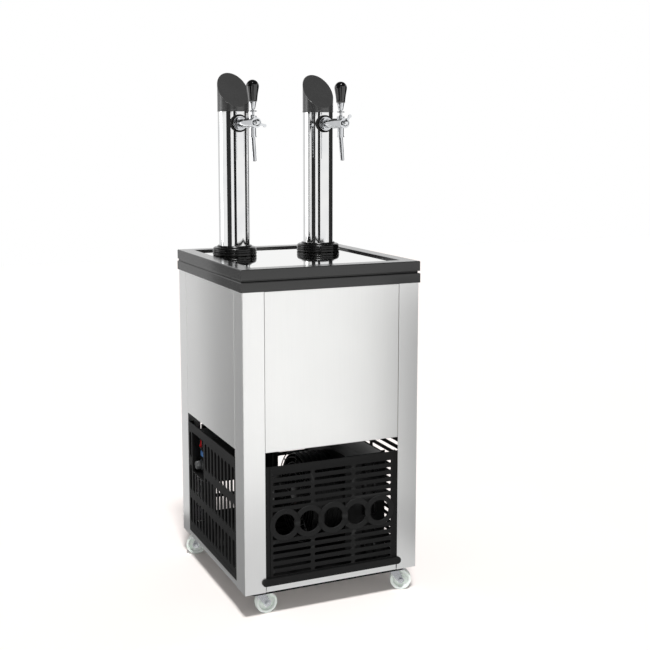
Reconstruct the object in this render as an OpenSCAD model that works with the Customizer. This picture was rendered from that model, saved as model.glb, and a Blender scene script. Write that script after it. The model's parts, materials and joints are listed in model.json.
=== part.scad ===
// Draft beer dispenser: a cabinet on casters with a cold tank, a cooling unit and two tap towers.
// Millimetres, +Z up, front towards -Y. The origin is on the floor, under the middle of the cabinet.

/* [Cabinet] */
// Width of the cabinet over its corner posts
cab_w = 430; // [420:1:520]
// Depth of the cabinet over its corner posts
cab_d = 475; // [465:1:560]
// Height of the steel cabinet without casters and trim
cab_h = 682; // [670:1:760]
// Height of the ventilated machine room under the panels
vent_h = 322; // [315:1:350]
// Thickness of the steel sheet
sheet_t = 1.5; // [1:0.1:2]
// Width of a corner post on the front and rear faces
post_front_w = 50; // [44:1:56]
// Width of a corner post on the side faces
post_side_w = 57; // [50:1:64]
// Open seam between a post and a panel
seam = 0.6; // [0.3:0.1:0.9]
// Depth of the folded side and top edges of a panel
flange_d = 12; // [8:1:16]
// Depth of the folded bottom edge of a panel, which carries the deck
shelf_d = 25; // [22:1:30]
// Height of the rail of the base pan
rail_h = 12.5; // [8:0.5:16]
// Thickness of the base pan and of the deck
plate_t = 2; // [1.5:0.1:3]

/* [Top frame] */
// Height of the lower trim frame
trim_h = 22; // [18:1:26]
// How far the lower trim stands out of the steel
trim_out = 3; // [2:0.5:4]
// Width of the lower trim over the steel
trim_w = 30; // [26:1:32]
// Chamfer on the top edge of the lower trim
trim_chamfer = 1.5; // [1:0.5:4]
// Height of the neck groove
neck_h = 5; // [3:0.5:8]
// Depth of the neck groove at the sides and the rear
neck_in = 2; // [1:0.5:6]
// Depth of the neck groove at the front
neck_front_in = 8; // [3:0.5:10]
// Height of the upper frame above the neck
rim_h = 23; // [20:1:30]
// How far the upper frame stands out of the steel
rim_out = 2.5; // [0:0.5:4]
// Width of the rim around the top plate
rim_w = 32; // [26:1:38]
// Width of the ledge that carries the top plate
ledge_w = 12; // [8:1:18]
// How far the top plate lies below the rim
plate_drop = 4.5; // [3:0.5:8]
// Thickness of the polished top plate
top_t = 1.5; // [1:0.1:2.5]

/* [Tank] */
// Wall of the foam around the tank
foam_t = 28; // [22:1:34]
// Space between the foam and the side panels
foam_side_gap = 20; // [16:1:26]
// Space between the foam and the front panel
foam_front_gap = 25; // [20:1:30]
// Duct for the lines behind the foam
rear_duct = 57; // [52:1:62]
// Space between the foam's top and the top of the cabinet
foam_top_gap = 2; // [1:0.5:4]
// Thickness of the tank liner
liner_t = 1.2; // [1:0.1:2]
// Width of the liner's rim
liner_rim = 12; // [8:1:16]
// Thickness of the tank lid
lid_t = 5; // [3:0.5:8]
// Radius of the beer line
line_r = 4; // [3:0.25:4.5]
// Radius of the evaporator tube
evap_line_r = 5; // [4:0.25:5.5]
// Coil radius of the evaporator
evap_coil_r = 119; // [115:1:122]
// Coil radius of the left beer line
left_coil_r = 90; // [84:1:96]
// Coil radius of the right beer line
right_coil_r = 64; // [58:1:70]
// Turns of each coil
coil_turns = 6; // [4:1:8]
// Rise of a coil in one turn
coil_pitch = 34; // [24:1:36]
// Radius of the agitator motor
agit_r = 30; // [24:1:34]
// Height of the agitator motor
agit_h = 30; // [24:1:32]
// Radius of the impeller
impeller_r = 32; // [26:1:40]
// Depth of the impeller below the lid
impeller_drop = 220; // [180:1:260]

/* [Grilles] */
// Thickness of a grille
grille_t = 2.5; // [2:0.1:4]
// Gap under a grille
grille_foot = 2.5; // [1:0.5:4]
// Height of the front grille
front_grille_h = 274; // [262:1:284]
// Height of the left and right grilles
side_grille_h = 286; // [280:1:292]
// Height of the rear grille
rear_grille_h = 258; // [240:1:264]
// Gap between a grille and the posts beside it
grille_gap = 2; // [1:0.5:4]
// Depth of the folded edge of a grille
grille_edge_d = 14; // [10:1:18]
// Height of the front bar
bar_h = 17; // [12:1:20]
// How far the front bar stands out of the posts
bar_out = 4.5; // [3:0.5:6]
// How far the ends of the front bar reach over the posts
bar_over = 9; // [4:1:14]
// Height of a slot in the front grille
slot_h = 7.5; // [5:0.5:9]
// Spacing of the slots in the front grille
slot_pitch = 17; // [15:0.5:18]
// Length of a slot in the front grille
slot_len = 93; // [84:1:94]
// Spacing of the slot columns in the front grille
column_pitch = 101.5; // [99:0.5:103]
// Inner radius of a ring in the front grille
ring_r = 24.5; // [20:0.5:25]
// Width of a ring in the front grille
ring_w = 12.5; // [9:0.5:13]
// Spacing of the rings in the front grille
ring_pitch = 59; // [56:0.5:60]
// Height of a slot in the rear grille
rear_slot_h = 36; // [20:1:38]
// Width of the middle rib of the rear grille
rear_rib_w = 80; // [12:2:90]
// Width of an upright slot in the left grille
upright_w = 15; // [7:0.5:16]
// Height of an upright slot in the left grille
upright_h = 67; // [60:1:70]
// Number of upright slots in a row
upright_n = 14; // [13:1:15]
// Spacing of the rows of upright slots
upright_row = 85.5; // [80:0.5:88]
// Height of the window for the controls
window_h = 101; // [96:1:104]
// Length of the window for the controls
window_len = 92; // [86:1:96]
// Distance of the window from the rear edge of the left grille
window_in = 30.5; // [28:0.5:34]

/* [Controls] */
// How far the control panel lies behind the left side
ctrl_recess = 20; // [18:1:30]
// Depth of the control box
ctrl_d = 60; // [50:1:80]
// Radius of the knob's skirt
knob_r = 14; // [10:1:15]
// Length of the knob
knob_len = 16; // [12:1:17]
// Width of the switch housing
switch_w = 22; // [18:1:24]
// Height of the switch housing
switch_h = 28; // [24:1:30]
// Tilt of the rocker to each side
rocker_tilt = 9; // [6:1:12]

/* [Cooling unit] */
// Thickness of the condenser
cond_t = 55; // [40:1:60]
// Length of the condenser
cond_len = 222; // [216:1:228]
// Height of the condenser above the base pan
cond_h = 274; // [250:1:280]
// Depth of the fan shroud
shroud_d = 40; // [36:1:48]
// Margin of the shroud around the fan's hole
fan_margin = 9; // [7:0.5:14]
// Height of shroud left above the fan's hole
fan_top = 18; // [14:1:24]
// Gap between the fan's tips and the hole
fan_gap = 7; // [4:1:10]
// Number of fan blades
fan_blades_n = 5; // [3:1:7]
// Radius of the fan motor
fan_motor_r = 32; // [26:1:36]
// Length of the fan motor
fan_motor_len = 73; // [62:1:78]
// Radius of the compressor
comp_r = 64; // [56:1:66]
// Height of the compressor
comp_h = 147; // [140:1:180]
// Height of the rubber feet under the compressor
comp_foot_h = 18; // [12:1:24]

/* [Towers] */
// Distance between the two towers
tower_gap = 223; // [200:1:240]
// Distance of the towers behind the middle
tower_y = 104; // [80:1:110]
// Radius of a tower tube
tube_r = 38; // [36:0.5:40]
// Wall of a tower tube
tube_wall = 2; // [1.5:0.1:3]
// Height of a tower tube
tube_h = 347; // [300:1:420]
// Radius of the base ring
base_r = 54; // [50:0.5:58]
// Height of the base ring
base_h = 20; // [12:0.5:24]
// Height of the cap at its front
cap_front_h = 9.5; // [6:0.5:16]
// Height of the cap at its back
cap_back_h = 94; // [70:1:110]
// Height of the tap below the top of the tube
tap_drop = 28.5; // [26:0.5:40]

/* [Taps] */
// Radius of the saddle gasket
gasket_r = 21; // [19:0.5:23]
// Length of the gasket in front of the tower tube
gasket_len = 8; // [6:0.5:12]
// Radius of the shank
shank_r = 10.5; // [9:0.5:11]
// Distance of the lever from the tower's axis
lever_u = 136; // [132:1:150]
// Radius of the tap's barrel
barrel_r = 12; // [11:0.5:13]
// Length of the barrel behind the lever
barrel_back = 36; // [33:1:40]
// Length of the barrel in front of the lever
barrel_front = 24; // [22:1:28]
// Height of the lever's pivot above the tap's axis
pivot_h = 14; // [13.5:0.5:16]
// Angle of the lever's full pull
pull_angle = 35; // [25:1:35]
// Radius of the pivot pin
pin_r = 1.5; // [1:0.1:2]
// Radius of the valve plunger
plunger_r = 5.5; // [5:0.1:6]
// Radial running clearance of shafts and pins
run_gap = 0.05; // [0.02:0.01:0.09]
// Height of the knob on the lever
grip_h = 50; // [40:1:60]
// Largest radius of the knob on the lever
grip_r = 15; // [12:0.5:18]
// Radius of the spout
spout_r = 5; // [4:0.25:6]
// Length of the spout
spout_len = 57; // [40:1:70]
// Radius of the spout's necked tip
spout_tip_r = 4.6; // [4:0.1:4.8]
// Length of the spout's necked tip
spout_tip = 18; // [12:1:24]
// Forward lean of the spout
spout_lean = 10; // [5:1:15]
// Length of the flow-control arm
flow_arm = 20; // [14:1:24]

/* [Casters] */
// Radius of a caster wheel
wheel_r = 25; // [20:0.5:32]
// Width of a caster wheel
wheel_w = 18; // [14:0.5:22]
// Trail of the wheel behind the swivel axis
trail = 20; // [18:0.5:24]
// Distance of the swivel axis from the cabinet's side
caster_in_x = 43; // [40:1:60]
// Distance of the swivel axis from the cabinet's front or rear
caster_in_y = 37.5; // [36:0.5:60]
// Side of the square top plate
caster_plate_w = 52; // [50:1:60]
// Radius of the axle
axle_r = 3; // [2.5:0.25:4]

/* [Inlets] */
// Radius of a beer inlet stem
inlet_r = 4.75; // [4:0.05:6]
// Length of a beer inlet stem
inlet_len = 17; // [14:1:19]
// How far the connection plate lies behind the rear face
inlet_recess = 23.5; // [22:0.5:28]
// Radius of the bore in the mains gland
gland_r = 4; // [3:0.25:5]

/* [Hidden] */
$fn = 64;
hx = cab_w / 2;
hy = cab_d / 2;

// Heights of a caster, from its top plate down to the wheel
caster_plate_t = 2.5;
race_h = 5.5;
race_gap = 0.3;
crown_t = 2.7;
wheel_gap = 1;
caster_h = 2 * wheel_r + wheel_gap + crown_t + race_gap + race_h + caster_plate_t;
crown_z0 = 2 * wheel_r + wheel_gap;
crown_z1 = crown_z0 + crown_t;
race_z0 = crown_z1 + race_gap;

// Heights of the cabinet
cab_z0 = caster_h;
cab_z1 = cab_z0 + cab_h;
pan_top = cab_z0 + plate_t;
rail_z1 = cab_z0 + rail_h;
panel_z0 = cab_z0 + vent_h;
deck_z0 = panel_z0 + sheet_t;
deck_z1 = deck_z0 + plate_t;
trim_z1 = cab_z1 + trim_h;
neck_z1 = trim_z1 + neck_h;
frame_z1 = neck_z1 + rim_h;
top_z1 = frame_z1 - plate_drop;
top_z0 = top_z1 - top_t;
plate_fit = 0.3;
fit = 0.3;
touch = 0.15;

// Tank
foam_x = hx - foam_side_gap;
foam_y0 = -hy + foam_front_gap;
foam_y1 = hy - rear_duct;
foam_z1 = cab_z1 - foam_top_gap;
tank_x = foam_x - foam_t;
tank_y0 = foam_y0 + foam_t;
tank_y1 = foam_y1 - foam_t;
tank_z0 = deck_z1 + foam_t;
lid_z0 = foam_z1 + liner_t;
lid_z1 = lid_z0 + lid_t;
agit_shaft_r = 3;

// Lines: the duct behind the foam, the drop into the tank and the run over the lid
line_y = foam_y1 + 10;
drop_y = tank_y1 - liner_t - 10;
over_z = lid_z1 + (top_z0 - lid_z1) / 2;
hole_gap = 2;
evap_x = 25;
right_coil_z = tank_z0 + 15;
left_coil_z = right_coil_z + 20;
evap_coil_z = left_coil_z + 20;
bend_r = 10;
lead = 25;

// Towers and taps
tower_x = tower_gap / 2;
tube_z1 = top_z1 + tube_h;
tap_z = tube_z1 - tap_drop;
gasket_u = tube_r + gasket_len;
flange_t = 3.5;
nut_t = 8.5;
barrel_u0 = lever_u - barrel_back;
barrel_u1 = lever_u + barrel_front;
shank_tail_u = tube_r - tube_wall - 14;
boss_r = 9;
boss_bore_r = 6;
boss_over = 2;
hub_r = 5.5;
finger_r = 2;
ball_r = 3;
socket_r = 7.5;
socket_z = -30;
spout_ring_h = 3;
spout_wall = 1.2;
stem_r = 3.5;
disc_h = 3;
disc_r = 9;
ferrule_h = 17;
plunger_travel = pivot_h * sin(pull_angle);
// The arm of each flow-control lever at rest, turned from +X towards +Z
flow_rest = [-20, 55];

// Cooling unit
cond_x1 = hx - caster_in_x - caster_plate_w / 2 + 1;
cond_x0 = cond_x1 - cond_t;
shroud_x0 = cond_x0 - shroud_d;
cond_front_gap = 47.5;
cond_y0 = -hy + cond_front_gap;
cond_y1 = cond_y0 + cond_len;
fan_y = cond_y0 + cond_len / 2;
fan_hole_r = min(cond_len / 2 - fan_margin, (cond_h - fan_top - fan_margin) / 2);
fan_z = pan_top + cond_h - fan_top - fan_hole_r;
guard_out = 80;
guard_x = shroud_x0 - guard_out;
guard_t = 3;
guard_lap = 7;
guard_r = fan_hole_r + guard_lap;
guard_wire = 2.5;
fan_shaft_r = 4;
fan_tilt = 30;
blade_chord = 52;
blade_t = 2;
hub_len = 26;
fan_hub_r = 20;
fan_x = guard_x + guard_t + fan_motor_len + 3 + hub_len / 2;
comp_x = 50;
comp_gap = 22;
comp_y = cond_y1 + comp_gap + comp_r;
comp_z0 = pan_top + comp_foot_h;
comp_plate_t = 3;
comp_foot_x = comp_r - 2;
comp_foot_y = comp_r - 14;

// Grilles and controls
front_grille_w = cab_w - 2 * post_front_w - 2 * grille_gap;
side_grille_w = cab_d - 2 * post_side_w - 2 * grille_gap;
upright_margin = 3.5;
upright_pitch = (side_grille_w - 2 * upright_margin) / upright_n;
ctrl_x = -hx + ctrl_recess;
window_y1 = side_grille_w / 2 - window_in;
window_y0 = window_y1 - window_len;
side_grille_z0 = rail_z1 + grille_foot;
side_grille_z1 = side_grille_z0 + side_grille_h;
window_z1 = side_grille_z1 - 21;
window_z0 = window_z1 - window_h;
window_wall = 2;
ctrl_margin = 5;
ctrl_in = 18;
ctrl_y = window_y1 - ctrl_in;
knob_z = window_z0 + knob_r + 5;
label_z = knob_z + 28;
switch_z = label_z + 26;
label_size = [20, 14];
label_t = 0.8;
bezel_t = 3;
rocker_pin_r = 1.5;
rocker_gap = 0.6;
knob_shaft_r = 3;
knob_lift = 0.5;

// Rear connection plate
inlet_plate_h = 46;
inlet_drop = 26;
inlet_plate_z0 = panel_z0 - inlet_plate_h;
inlet_z = panel_z0 - inlet_drop;
inlet_y = hy - inlet_recess;
inlet_nut_r = 10;
thread_r = 7;
gland_body_r = 9;

steel = [0.82, 0.82, 0.83];
black = [0.09, 0.09, 0.1];
chrome = [0.9, 0.9, 0.92];
zinc = [0.68, 0.69, 0.7];
copper = [0.72, 0.45, 0.3];
rubber = [0.05, 0.05, 0.05];

// A box from its lowest to its highest corner
module box(lo, hi) {
    translate(lo) cube(hi - lo);
}

// A slot with round ends, long in X
module slot_2d(len, h) {
    square([len - h, h], center = true);
    for (s = [-1, 1]) translate([s * (len - h) / 2, 0]) circle(d = h);
}

// A flat shape drawn in the upright XZ plane, with its outer face at y = 0 and its back at y = t
module upright(t) {
    translate([0, t, 0]) rotate([90, 0, 0]) linear_extrude(t) children();
}

// Tube along a path
function unit(v) = v / norm(v);
function tangents(p) = [for (i = [0:len(p) - 1]) unit(p[min(i + 1, len(p) - 1)] - p[max(i - 1, 0)])];
function square_to(t) = unit(cross(t, abs(t[0]) < 0.8 ? [1, 0, 0] : [0, 1, 0]));
function carried(n, t) = unit(n - (n * t) * t);
function normals(t) = [
    for (i = 0, n = square_to(t[0]); i < len(t); i = i + 1, n = i < len(t) ? carried(n, t[i]) : n) n
];
function corner(a, b, c, r) =
    let (
        k = min(r, norm(a - b) / 2, norm(c - b) / 2),
        p = b + k * unit(a - b),
        q = b + k * unit(c - b)
    )
    [for (t = [0, 0.25, 0.5, 0.75, 1]) (1 - t) * (1 - t) * p + 2 * t * (1 - t) * b + t * t * q];
function rounded(p, r) = concat(
    [p[0]],
    [for (i = [1:1:len(p) - 2]) each corner(p[i - 1], p[i], p[i + 1], r)],
    [p[len(p) - 1]]
);
function helix(r, z, from, way) = [
    for (i = [0:coil_turns * 16])
        let (a = from + way * 360 * i / 16)
        [r * cos(a), r * sin(a), z + coil_pitch * i / 16]
];

module tube(path, r, sides = 6) {
    t = tangents(path);
    n = normals(t);
    last = len(path) - 1;
    ring = [
        for (i = [0:last], k = [0:sides - 1])
            let (a = 360 * k / sides)
            path[i] + r * (cos(a) * n[i] + sin(a) * cross(t[i], n[i]))
    ];
    walls = [
        for (i = [0:last - 1], k = [0:sides - 1])
            let (a = i * sides + k, b = i * sides + (k + 1) % sides)
            each [[a, a + sides, b], [b, a + sides, b + sides]]
    ];
    ends = [
        for (k = [1:sides - 2])
            each [[0, k, k + 1], [last * sides, last * sides + k + 1, last * sides + k]]
    ];
    polyhedron(ring, concat(walls, ends));
}

// Cabinet
module base_pan() {
    x = hx - sheet_t;
    y = hy - sheet_t;
    color(steel) difference() {
        box([-x, -y, cab_z0], [x, y, rail_z1]);
        box([-x + plate_t, -y + plate_t, pan_top], [x - plate_t, y - plate_t, rail_z1 + 1]);
        for (p = caster_places) translate([p[0], p[1], cab_z0]) caster_bolt_places()
            translate([0, 0, -1]) cylinder(r = caster_bolt_r + touch, h = plate_t + 2);
    }
}

module corner_post() {
    translate([0, 0, cab_z0]) linear_extrude(cab_h) polygon([
        [hx, hy], [hx - post_front_w, hy], [hx - post_front_w, hy - sheet_t],
        [hx - sheet_t, hy - sheet_t], [hx - sheet_t, hy - post_side_w], [hx, hy - post_side_w]
    ]);
}

module corner_posts() {
    color(steel) for (mx = [0, 1], my = [0, 1]) mirror([mx, 0, 0]) mirror([0, my, 0]) corner_post();
}

// A panel with folded edges, facing -Y
module folded_panel(w) {
    h = cab_z1 - panel_z0;
    color(steel) difference() {
        box([-w / 2, 0, 0], [w / 2, shelf_d, h]);
        box([-w / 2 + sheet_t, sheet_t, sheet_t], [w / 2 - sheet_t, shelf_d + 1, h - sheet_t]);
        box([-w / 2 - 1, flange_d, sheet_t], [w / 2 + 1, shelf_d + 1, h + 1]);
    }
}

module place_panel(turn, out) {
    rotate([0, 0, turn]) translate([0, -out, panel_z0]) children();
}

wide_panel_w = cab_w - 2 * post_front_w - 2 * seam;
deep_panel_w = cab_d - 2 * post_side_w - 2 * seam;

module front_panel() {
    place_panel(0, hy) folded_panel(wide_panel_w);
}

module rear_panel() {
    place_panel(180, hy) folded_panel(wide_panel_w);
}

module side_panels() {
    for (turn = [-90, 90]) place_panel(turn, hx) folded_panel(deep_panel_w);
}

duct_lines = [
    [-left_coil_r, line_r], [right_coil_r, line_r], [-evap_x, evap_line_r], [evap_x, evap_line_r]
];

module deck_plate() {
    x = hx - sheet_t - flange_d - 1;
    y = hy - sheet_t - flange_d - 1;
    color(zinc) difference() {
        box([-x, -y, deck_z0], [x, y, deck_z1]);
        for (l = duct_lines) translate([l[0], line_y, deck_z0 - 1])
            cylinder(r = l[1] + hole_gap, h = plate_t + 2);
    }
}

// Grilles: a slotted face with folded side edges and a tongue behind the rail of the pan
module grille(w, h) {
    tongue_y = sheet_t + plate_t + touch;
    edge = 2;
    children();
    for (s = [-1, 1]) translate([s * (w - edge) / 2 - edge / 2, 0, 0]) cube([edge, grille_edge_d, h]);
    box([-w / 2, 0, 0], [w / 2, tongue_y + edge, edge]);
    box([-w / 2 + 20, tongue_y, -grille_foot - rail_h / 2], [w / 2 - 20, tongue_y + edge, edge]);
}

module front_grille() {
    mid = front_grille_h / 2;
    band_h = 2 * ring_r + 16;
    band_w = 2 * column_pitch + slot_len;
    rows = 5;
    first = band_h / 2 + (slot_pitch - slot_h);
    bar_w = front_grille_w + 2 * grille_gap + 2 * bar_over;
    color(black) translate([0, -hy, side_grille_z0]) {
        grille(front_grille_w, front_grille_h) upright(grille_t) difference() {
            translate([-front_grille_w / 2, 0]) square([front_grille_w, front_grille_h]);
            for (i = [-1:1], s = [-1, 1], k = [0:rows - 1])
                translate([i * column_pitch, mid + s * (first + slot_h / 2 + k * slot_pitch)])
                    slot_2d(slot_len, slot_h);
            difference() {
                translate([-band_w / 2, mid - band_h / 2]) square([band_w, band_h]);
                for (i = [-2:2]) translate([i * ring_pitch, mid]) difference() {
                    circle(r = ring_r + ring_w);
                    circle(r = ring_r);
                }
            }
        }
        translate([0, -bar_out, bar_h / 2]) upright(bar_out - touch) slot_2d(bar_w, bar_h);
        box([-front_grille_w / 2, -bar_out, 0], [front_grille_w / 2, 0, bar_h]);
    }
}

module left_grille() {
    rows = 3;
    row_z = (side_grille_h - (rows - 1) * upright_row) / 2;
    wy = (window_y0 + window_y1) / 2;
    wz = window_z0 - side_grille_z0;
    first = (upright_n - 1) / 2 * upright_pitch;
    color(black) translate([-hx, 0, side_grille_z0]) rotate([0, 0, -90]) {
        difference() {
            grille(side_grille_w, side_grille_h) upright(grille_t) difference() {
                translate([-side_grille_w / 2, 0]) square([side_grille_w, side_grille_h]);
                for (k = [0:rows - 1], i = [0:upright_n - 1])
                    if (!(k == rows - 1 && i >= 1 && i <= 4))
                        translate([-first + i * upright_pitch, row_z + k * upright_row])
                            rotate(90) slot_2d(upright_h, upright_w);
                translate([-wy - window_len / 2, wz]) square([window_len, window_h]);
            }
        }
        translate([-wy, 0, wz]) difference() {
            box([-window_len / 2 - window_wall, 0, -window_wall],
                [window_len / 2 + window_wall, ctrl_recess, window_h + window_wall]);
            box([-window_len / 2, -1, 0], [window_len / 2, ctrl_recess + 1, window_h]);
        }
    }
}

// Rows of level slots in two columns, with a rib between the columns
module level_slots(w, h, rows, rib, high) {
    len = (w - rib) / 2 - 20;
    pitch = (h - 30) / rows;
    difference() {
        translate([-w / 2, 0]) square([w, h]);
        for (s = [-1, 1], k = [0:rows - 1])
            translate([s * (len + rib) / 2, h / 2 + (k - (rows - 1) / 2) * pitch]) slot_2d(len, high);
    }
}

module right_grille() {
    color(black) translate([hx, 0, side_grille_z0]) rotate([0, 0, 90])
        grille(side_grille_w, side_grille_h) upright(grille_t)
            level_slots(side_grille_w, side_grille_h, 14, 12, slot_h + 2);
}

module rear_grille() {
    color(black) translate([0, hy, side_grille_z0]) rotate([0, 0, 180])
        grille(front_grille_w, rear_grille_h) upright(grille_t)
            level_slots(front_grille_w, rear_grille_h, 5, rear_rib_w, rear_slot_h);
}

// Top frame
module ring_box(x, y, inner_x, inner_y, z0, z1) {
    difference() {
        box([-x, -y, z0], [x, y, z1]);
        box([-inner_x, -inner_y, z0 - 1], [inner_x, inner_y, z1 + 1]);
    }
}

ledge_x = hx - rim_w - ledge_w;
ledge_y = hy - rim_w - ledge_w;

// Outline of a bar across the top, with its upper corners cut off
module chamfered(half, z0, z1, cut) {
    polygon([
        [-half, z0], [half, z0], [half, z1 - cut], [half - cut, z1], [-half + cut, z1], [-half, z1 - cut]
    ]);
}

module lower_trim_frame() {
    x = hx + trim_out;
    y = hy + trim_out;
    color(black) difference() {
        intersection() {
            translate([0, y, 0]) rotate([90, 0, 0]) linear_extrude(2 * y)
                chamfered(x, cab_z1, trim_z1, trim_chamfer);
            translate([-x, 0, 0]) rotate([90, 0, 90]) linear_extrude(2 * x)
                chamfered(y, cab_z1, trim_z1, trim_chamfer);
        }
        box([-hx + trim_w, -hy + trim_w, cab_z1 - 1], [hx - trim_w, hy - trim_w, trim_z1 + 1]);
    }
}

module upper_trim_frame() {
    rim_x = hx - rim_w;
    rim_y = hy - rim_w;
    out_x = hx + rim_out;
    out_y = hy + rim_out;
    cut = 1.5;
    color(black) difference() {
        union() {
            box([-out_x + neck_in, -out_y + neck_front_in, trim_z1],
                [out_x - neck_in, out_y - neck_in, neck_z1 + 1]);
            intersection() {
                translate([0, out_y, 0]) rotate([90, 0, 0]) linear_extrude(2 * out_y)
                    chamfered(out_x, neck_z1, frame_z1, cut);
                translate([-out_x, 0, 0]) rotate([90, 0, 90]) linear_extrude(2 * out_x)
                    chamfered(out_y, neck_z1, frame_z1, cut);
            }
        }
        box([-ledge_x, -ledge_y, trim_z1 - 1], [ledge_x, ledge_y, frame_z1 + 1]);
        box([-rim_x, -rim_y, top_z0], [rim_x, rim_y, frame_z1 + 1]);
    }
}

module at_towers() {
    for (s = [-1, 1]) translate([s * tower_x, tower_y, 0]) children();
}

module top_plate() {
    x = hx - rim_w - plate_fit;
    y = hy - rim_w - plate_fit;
    color(chrome) difference() {
        box([-x, -y, top_z0], [x, y, top_z1]);
        at_towers() translate([0, 0, top_z0 - 1]) cylinder(r = tube_r - tube_wall - 6, h = top_t + 2);
    }
}

// Tank
module tank_foam() {
    color("wheat") difference() {
        box([-foam_x, foam_y0, deck_z1], [foam_x, foam_y1, foam_z1]);
        box([-tank_x, tank_y0, tank_z0], [tank_x, tank_y1, foam_z1 + 1]);
    }
}

module tank_liner() {
    x = tank_x - touch;
    y0 = tank_y0 + touch;
    y1 = tank_y1 - touch;
    color(steel) difference() {
        union() {
            box([-x, y0, tank_z0], [x, y1, foam_z1 + liner_t]);
            box([-x - liner_rim, y0 - liner_rim, foam_z1], [x + liner_rim, y1 + liner_rim, lid_z0]);
        }
        box([-x + liner_t, y0 + liner_t, tank_z0 + liner_t], [x - liner_t, y1 - liner_t, lid_z0 + 1]);
    }
}

lid_holes = [
    [-left_coil_r, drop_y, line_r], [right_coil_r, drop_y, line_r],
    [-evap_x, drop_y, evap_line_r], [evap_x, drop_y, evap_line_r],
    [-left_coil_r, -lead, line_r], [right_coil_r, -lead, line_r]
];

module tank_lid() {
    color("white") difference() {
        box([-tank_x - liner_rim, tank_y0 - liner_rim, lid_z0],
            [tank_x + liner_rim, tank_y1 + liner_rim, lid_z1]);
        for (h = lid_holes) translate([h[0], h[1], lid_z0 - 1])
            cylinder(r = h[2] + hole_gap, h = lid_t + 2);
        translate([0, 0, lid_z0 - 1]) cylinder(r = agit_shaft_r + hole_gap, h = lid_t + 2);
    }
}

// The line of one tap: rear inlet, duct, drop into the tank, coil, riser through the tower, shank
module beer_line(s, r, z) {
    x = s * r;
    top = z + coil_turns * coil_pitch;
    inward = rounded([
        [x, inlet_y - plate_t - 6, inlet_z], [x, line_y, inlet_z], [x, line_y, over_z],
        [x, drop_y, over_z], [x, drop_y, z], [x, 2, z]
    ], bend_r);
    coil = helix(r, z, s > 0 ? 0 : 180, -s);
    outward = rounded([
        [x, -2, top], [x, -lead, top], [x, -lead, over_z], [s * tower_x, tower_y, over_z],
        [s * tower_x, tower_y, tap_z], [s * tower_x, tower_y - shank_tail_u + touch, tap_z]
    ], bend_r);
    tube(concat(inward, coil, outward), line_r);
}

module beer_lines() {
    color(chrome) {
        beer_line(-1, left_coil_r, left_coil_z);
        beer_line(1, right_coil_r, right_coil_z);
    }
}

evap_drop = 30;
evap_low = panel_z0 - evap_drop;

module evaporator_coil() {
    r = evap_coil_r;
    top = evap_coil_z + coil_turns * coil_pitch;
    inward = rounded([
        [evap_x, line_y, evap_low], [evap_x, line_y, over_z], [evap_x, drop_y, over_z],
        [evap_x, drop_y, evap_coil_z], [evap_x, r, evap_coil_z], [2, r, evap_coil_z]
    ], bend_r);
    outward = rounded([
        [-2, r, top], [-evap_x, r, top], [-evap_x, drop_y, top], [-evap_x, drop_y, over_z],
        [-evap_x, line_y, over_z], [-evap_x, line_y, evap_low]
    ], bend_r);
    color(copper) tube(concat(inward, helix(r, evap_coil_z, 90, 1), outward), evap_line_r);
}

module agitator_motor() {
    color(black) translate([0, 0, lid_z1]) difference() {
        union() {
            cylinder(r = agit_r, h = agit_h);
            cylinder(r = agit_r + 8, h = 2);
        }
        translate([0, 0, -1]) cylinder(r = agit_shaft_r + run_gap, h = agit_h - 5);
    }
}

module agitator_impeller() {
    z = lid_z1 - impeller_drop;
    color(zinc) {
        translate([0, 0, z]) cylinder(r = agit_shaft_r, h = impeller_drop + agit_h - 10);
        translate([0, 0, z]) cylinder(r = 8, h = 16);
        for (i = [0:2]) rotate([0, 0, 120 * i]) translate([0, 0, z + 8]) rotate([40, 0, 0])
            box([4, -1, -9], [impeller_r, 1, 9]);
    }
}

// Cooling unit on the base pan
module compressor() {
    h = comp_h;
    color(black) translate([comp_x, comp_y, comp_z0]) {
        box([-comp_foot_x - 14, -comp_foot_y - 14, 0], [comp_foot_x + 14, comp_foot_y + 14, comp_plate_t]);
        translate([0, 0, comp_plate_t]) rotate_extrude() polygon([
            [0, 0], [0.8 * comp_r, 0], [0.95 * comp_r, 8], [comp_r, 22], [comp_r, h - 45],
            for (a = [0:15:75]) [comp_r * cos(a), h - 45 + 45 * sin(a)], [0, h]
        ]);
    }
}

module compressor_feet() {
    color(rubber) translate([comp_x, comp_y, pan_top]) for (i = [-1, 1], k = [-1, 1])
        translate([i * comp_foot_x, k * comp_foot_y, 0]) rotate_extrude() polygon([
            [0, 0], [13, 0], [13, 4], [9, 7], [9, comp_foot_h - 7],
            [12, comp_foot_h - 4], [12, comp_foot_h], [0, comp_foot_h]
        ]);
}

module condenser() {
    fins = 18;
    gap = 4;
    edge = 10;
    step = (cond_len - 2 * edge) / fins;
    color(black) difference() {
        box([cond_x0, cond_y0, pan_top], [cond_x1, cond_y1, pan_top + cond_h]);
        for (i = [0:fins - 1]) translate([0, cond_y0 + edge + (i + 0.5) * step, 0])
            box([cond_x1 - 12, -gap / 2, pan_top + edge], [cond_x1 + 1, gap / 2, pan_top + cond_h - edge]);
    }
}

module along_x(x, y, z) {
    translate([x, y, z]) rotate([0, 90, 0]) children();
}

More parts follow.
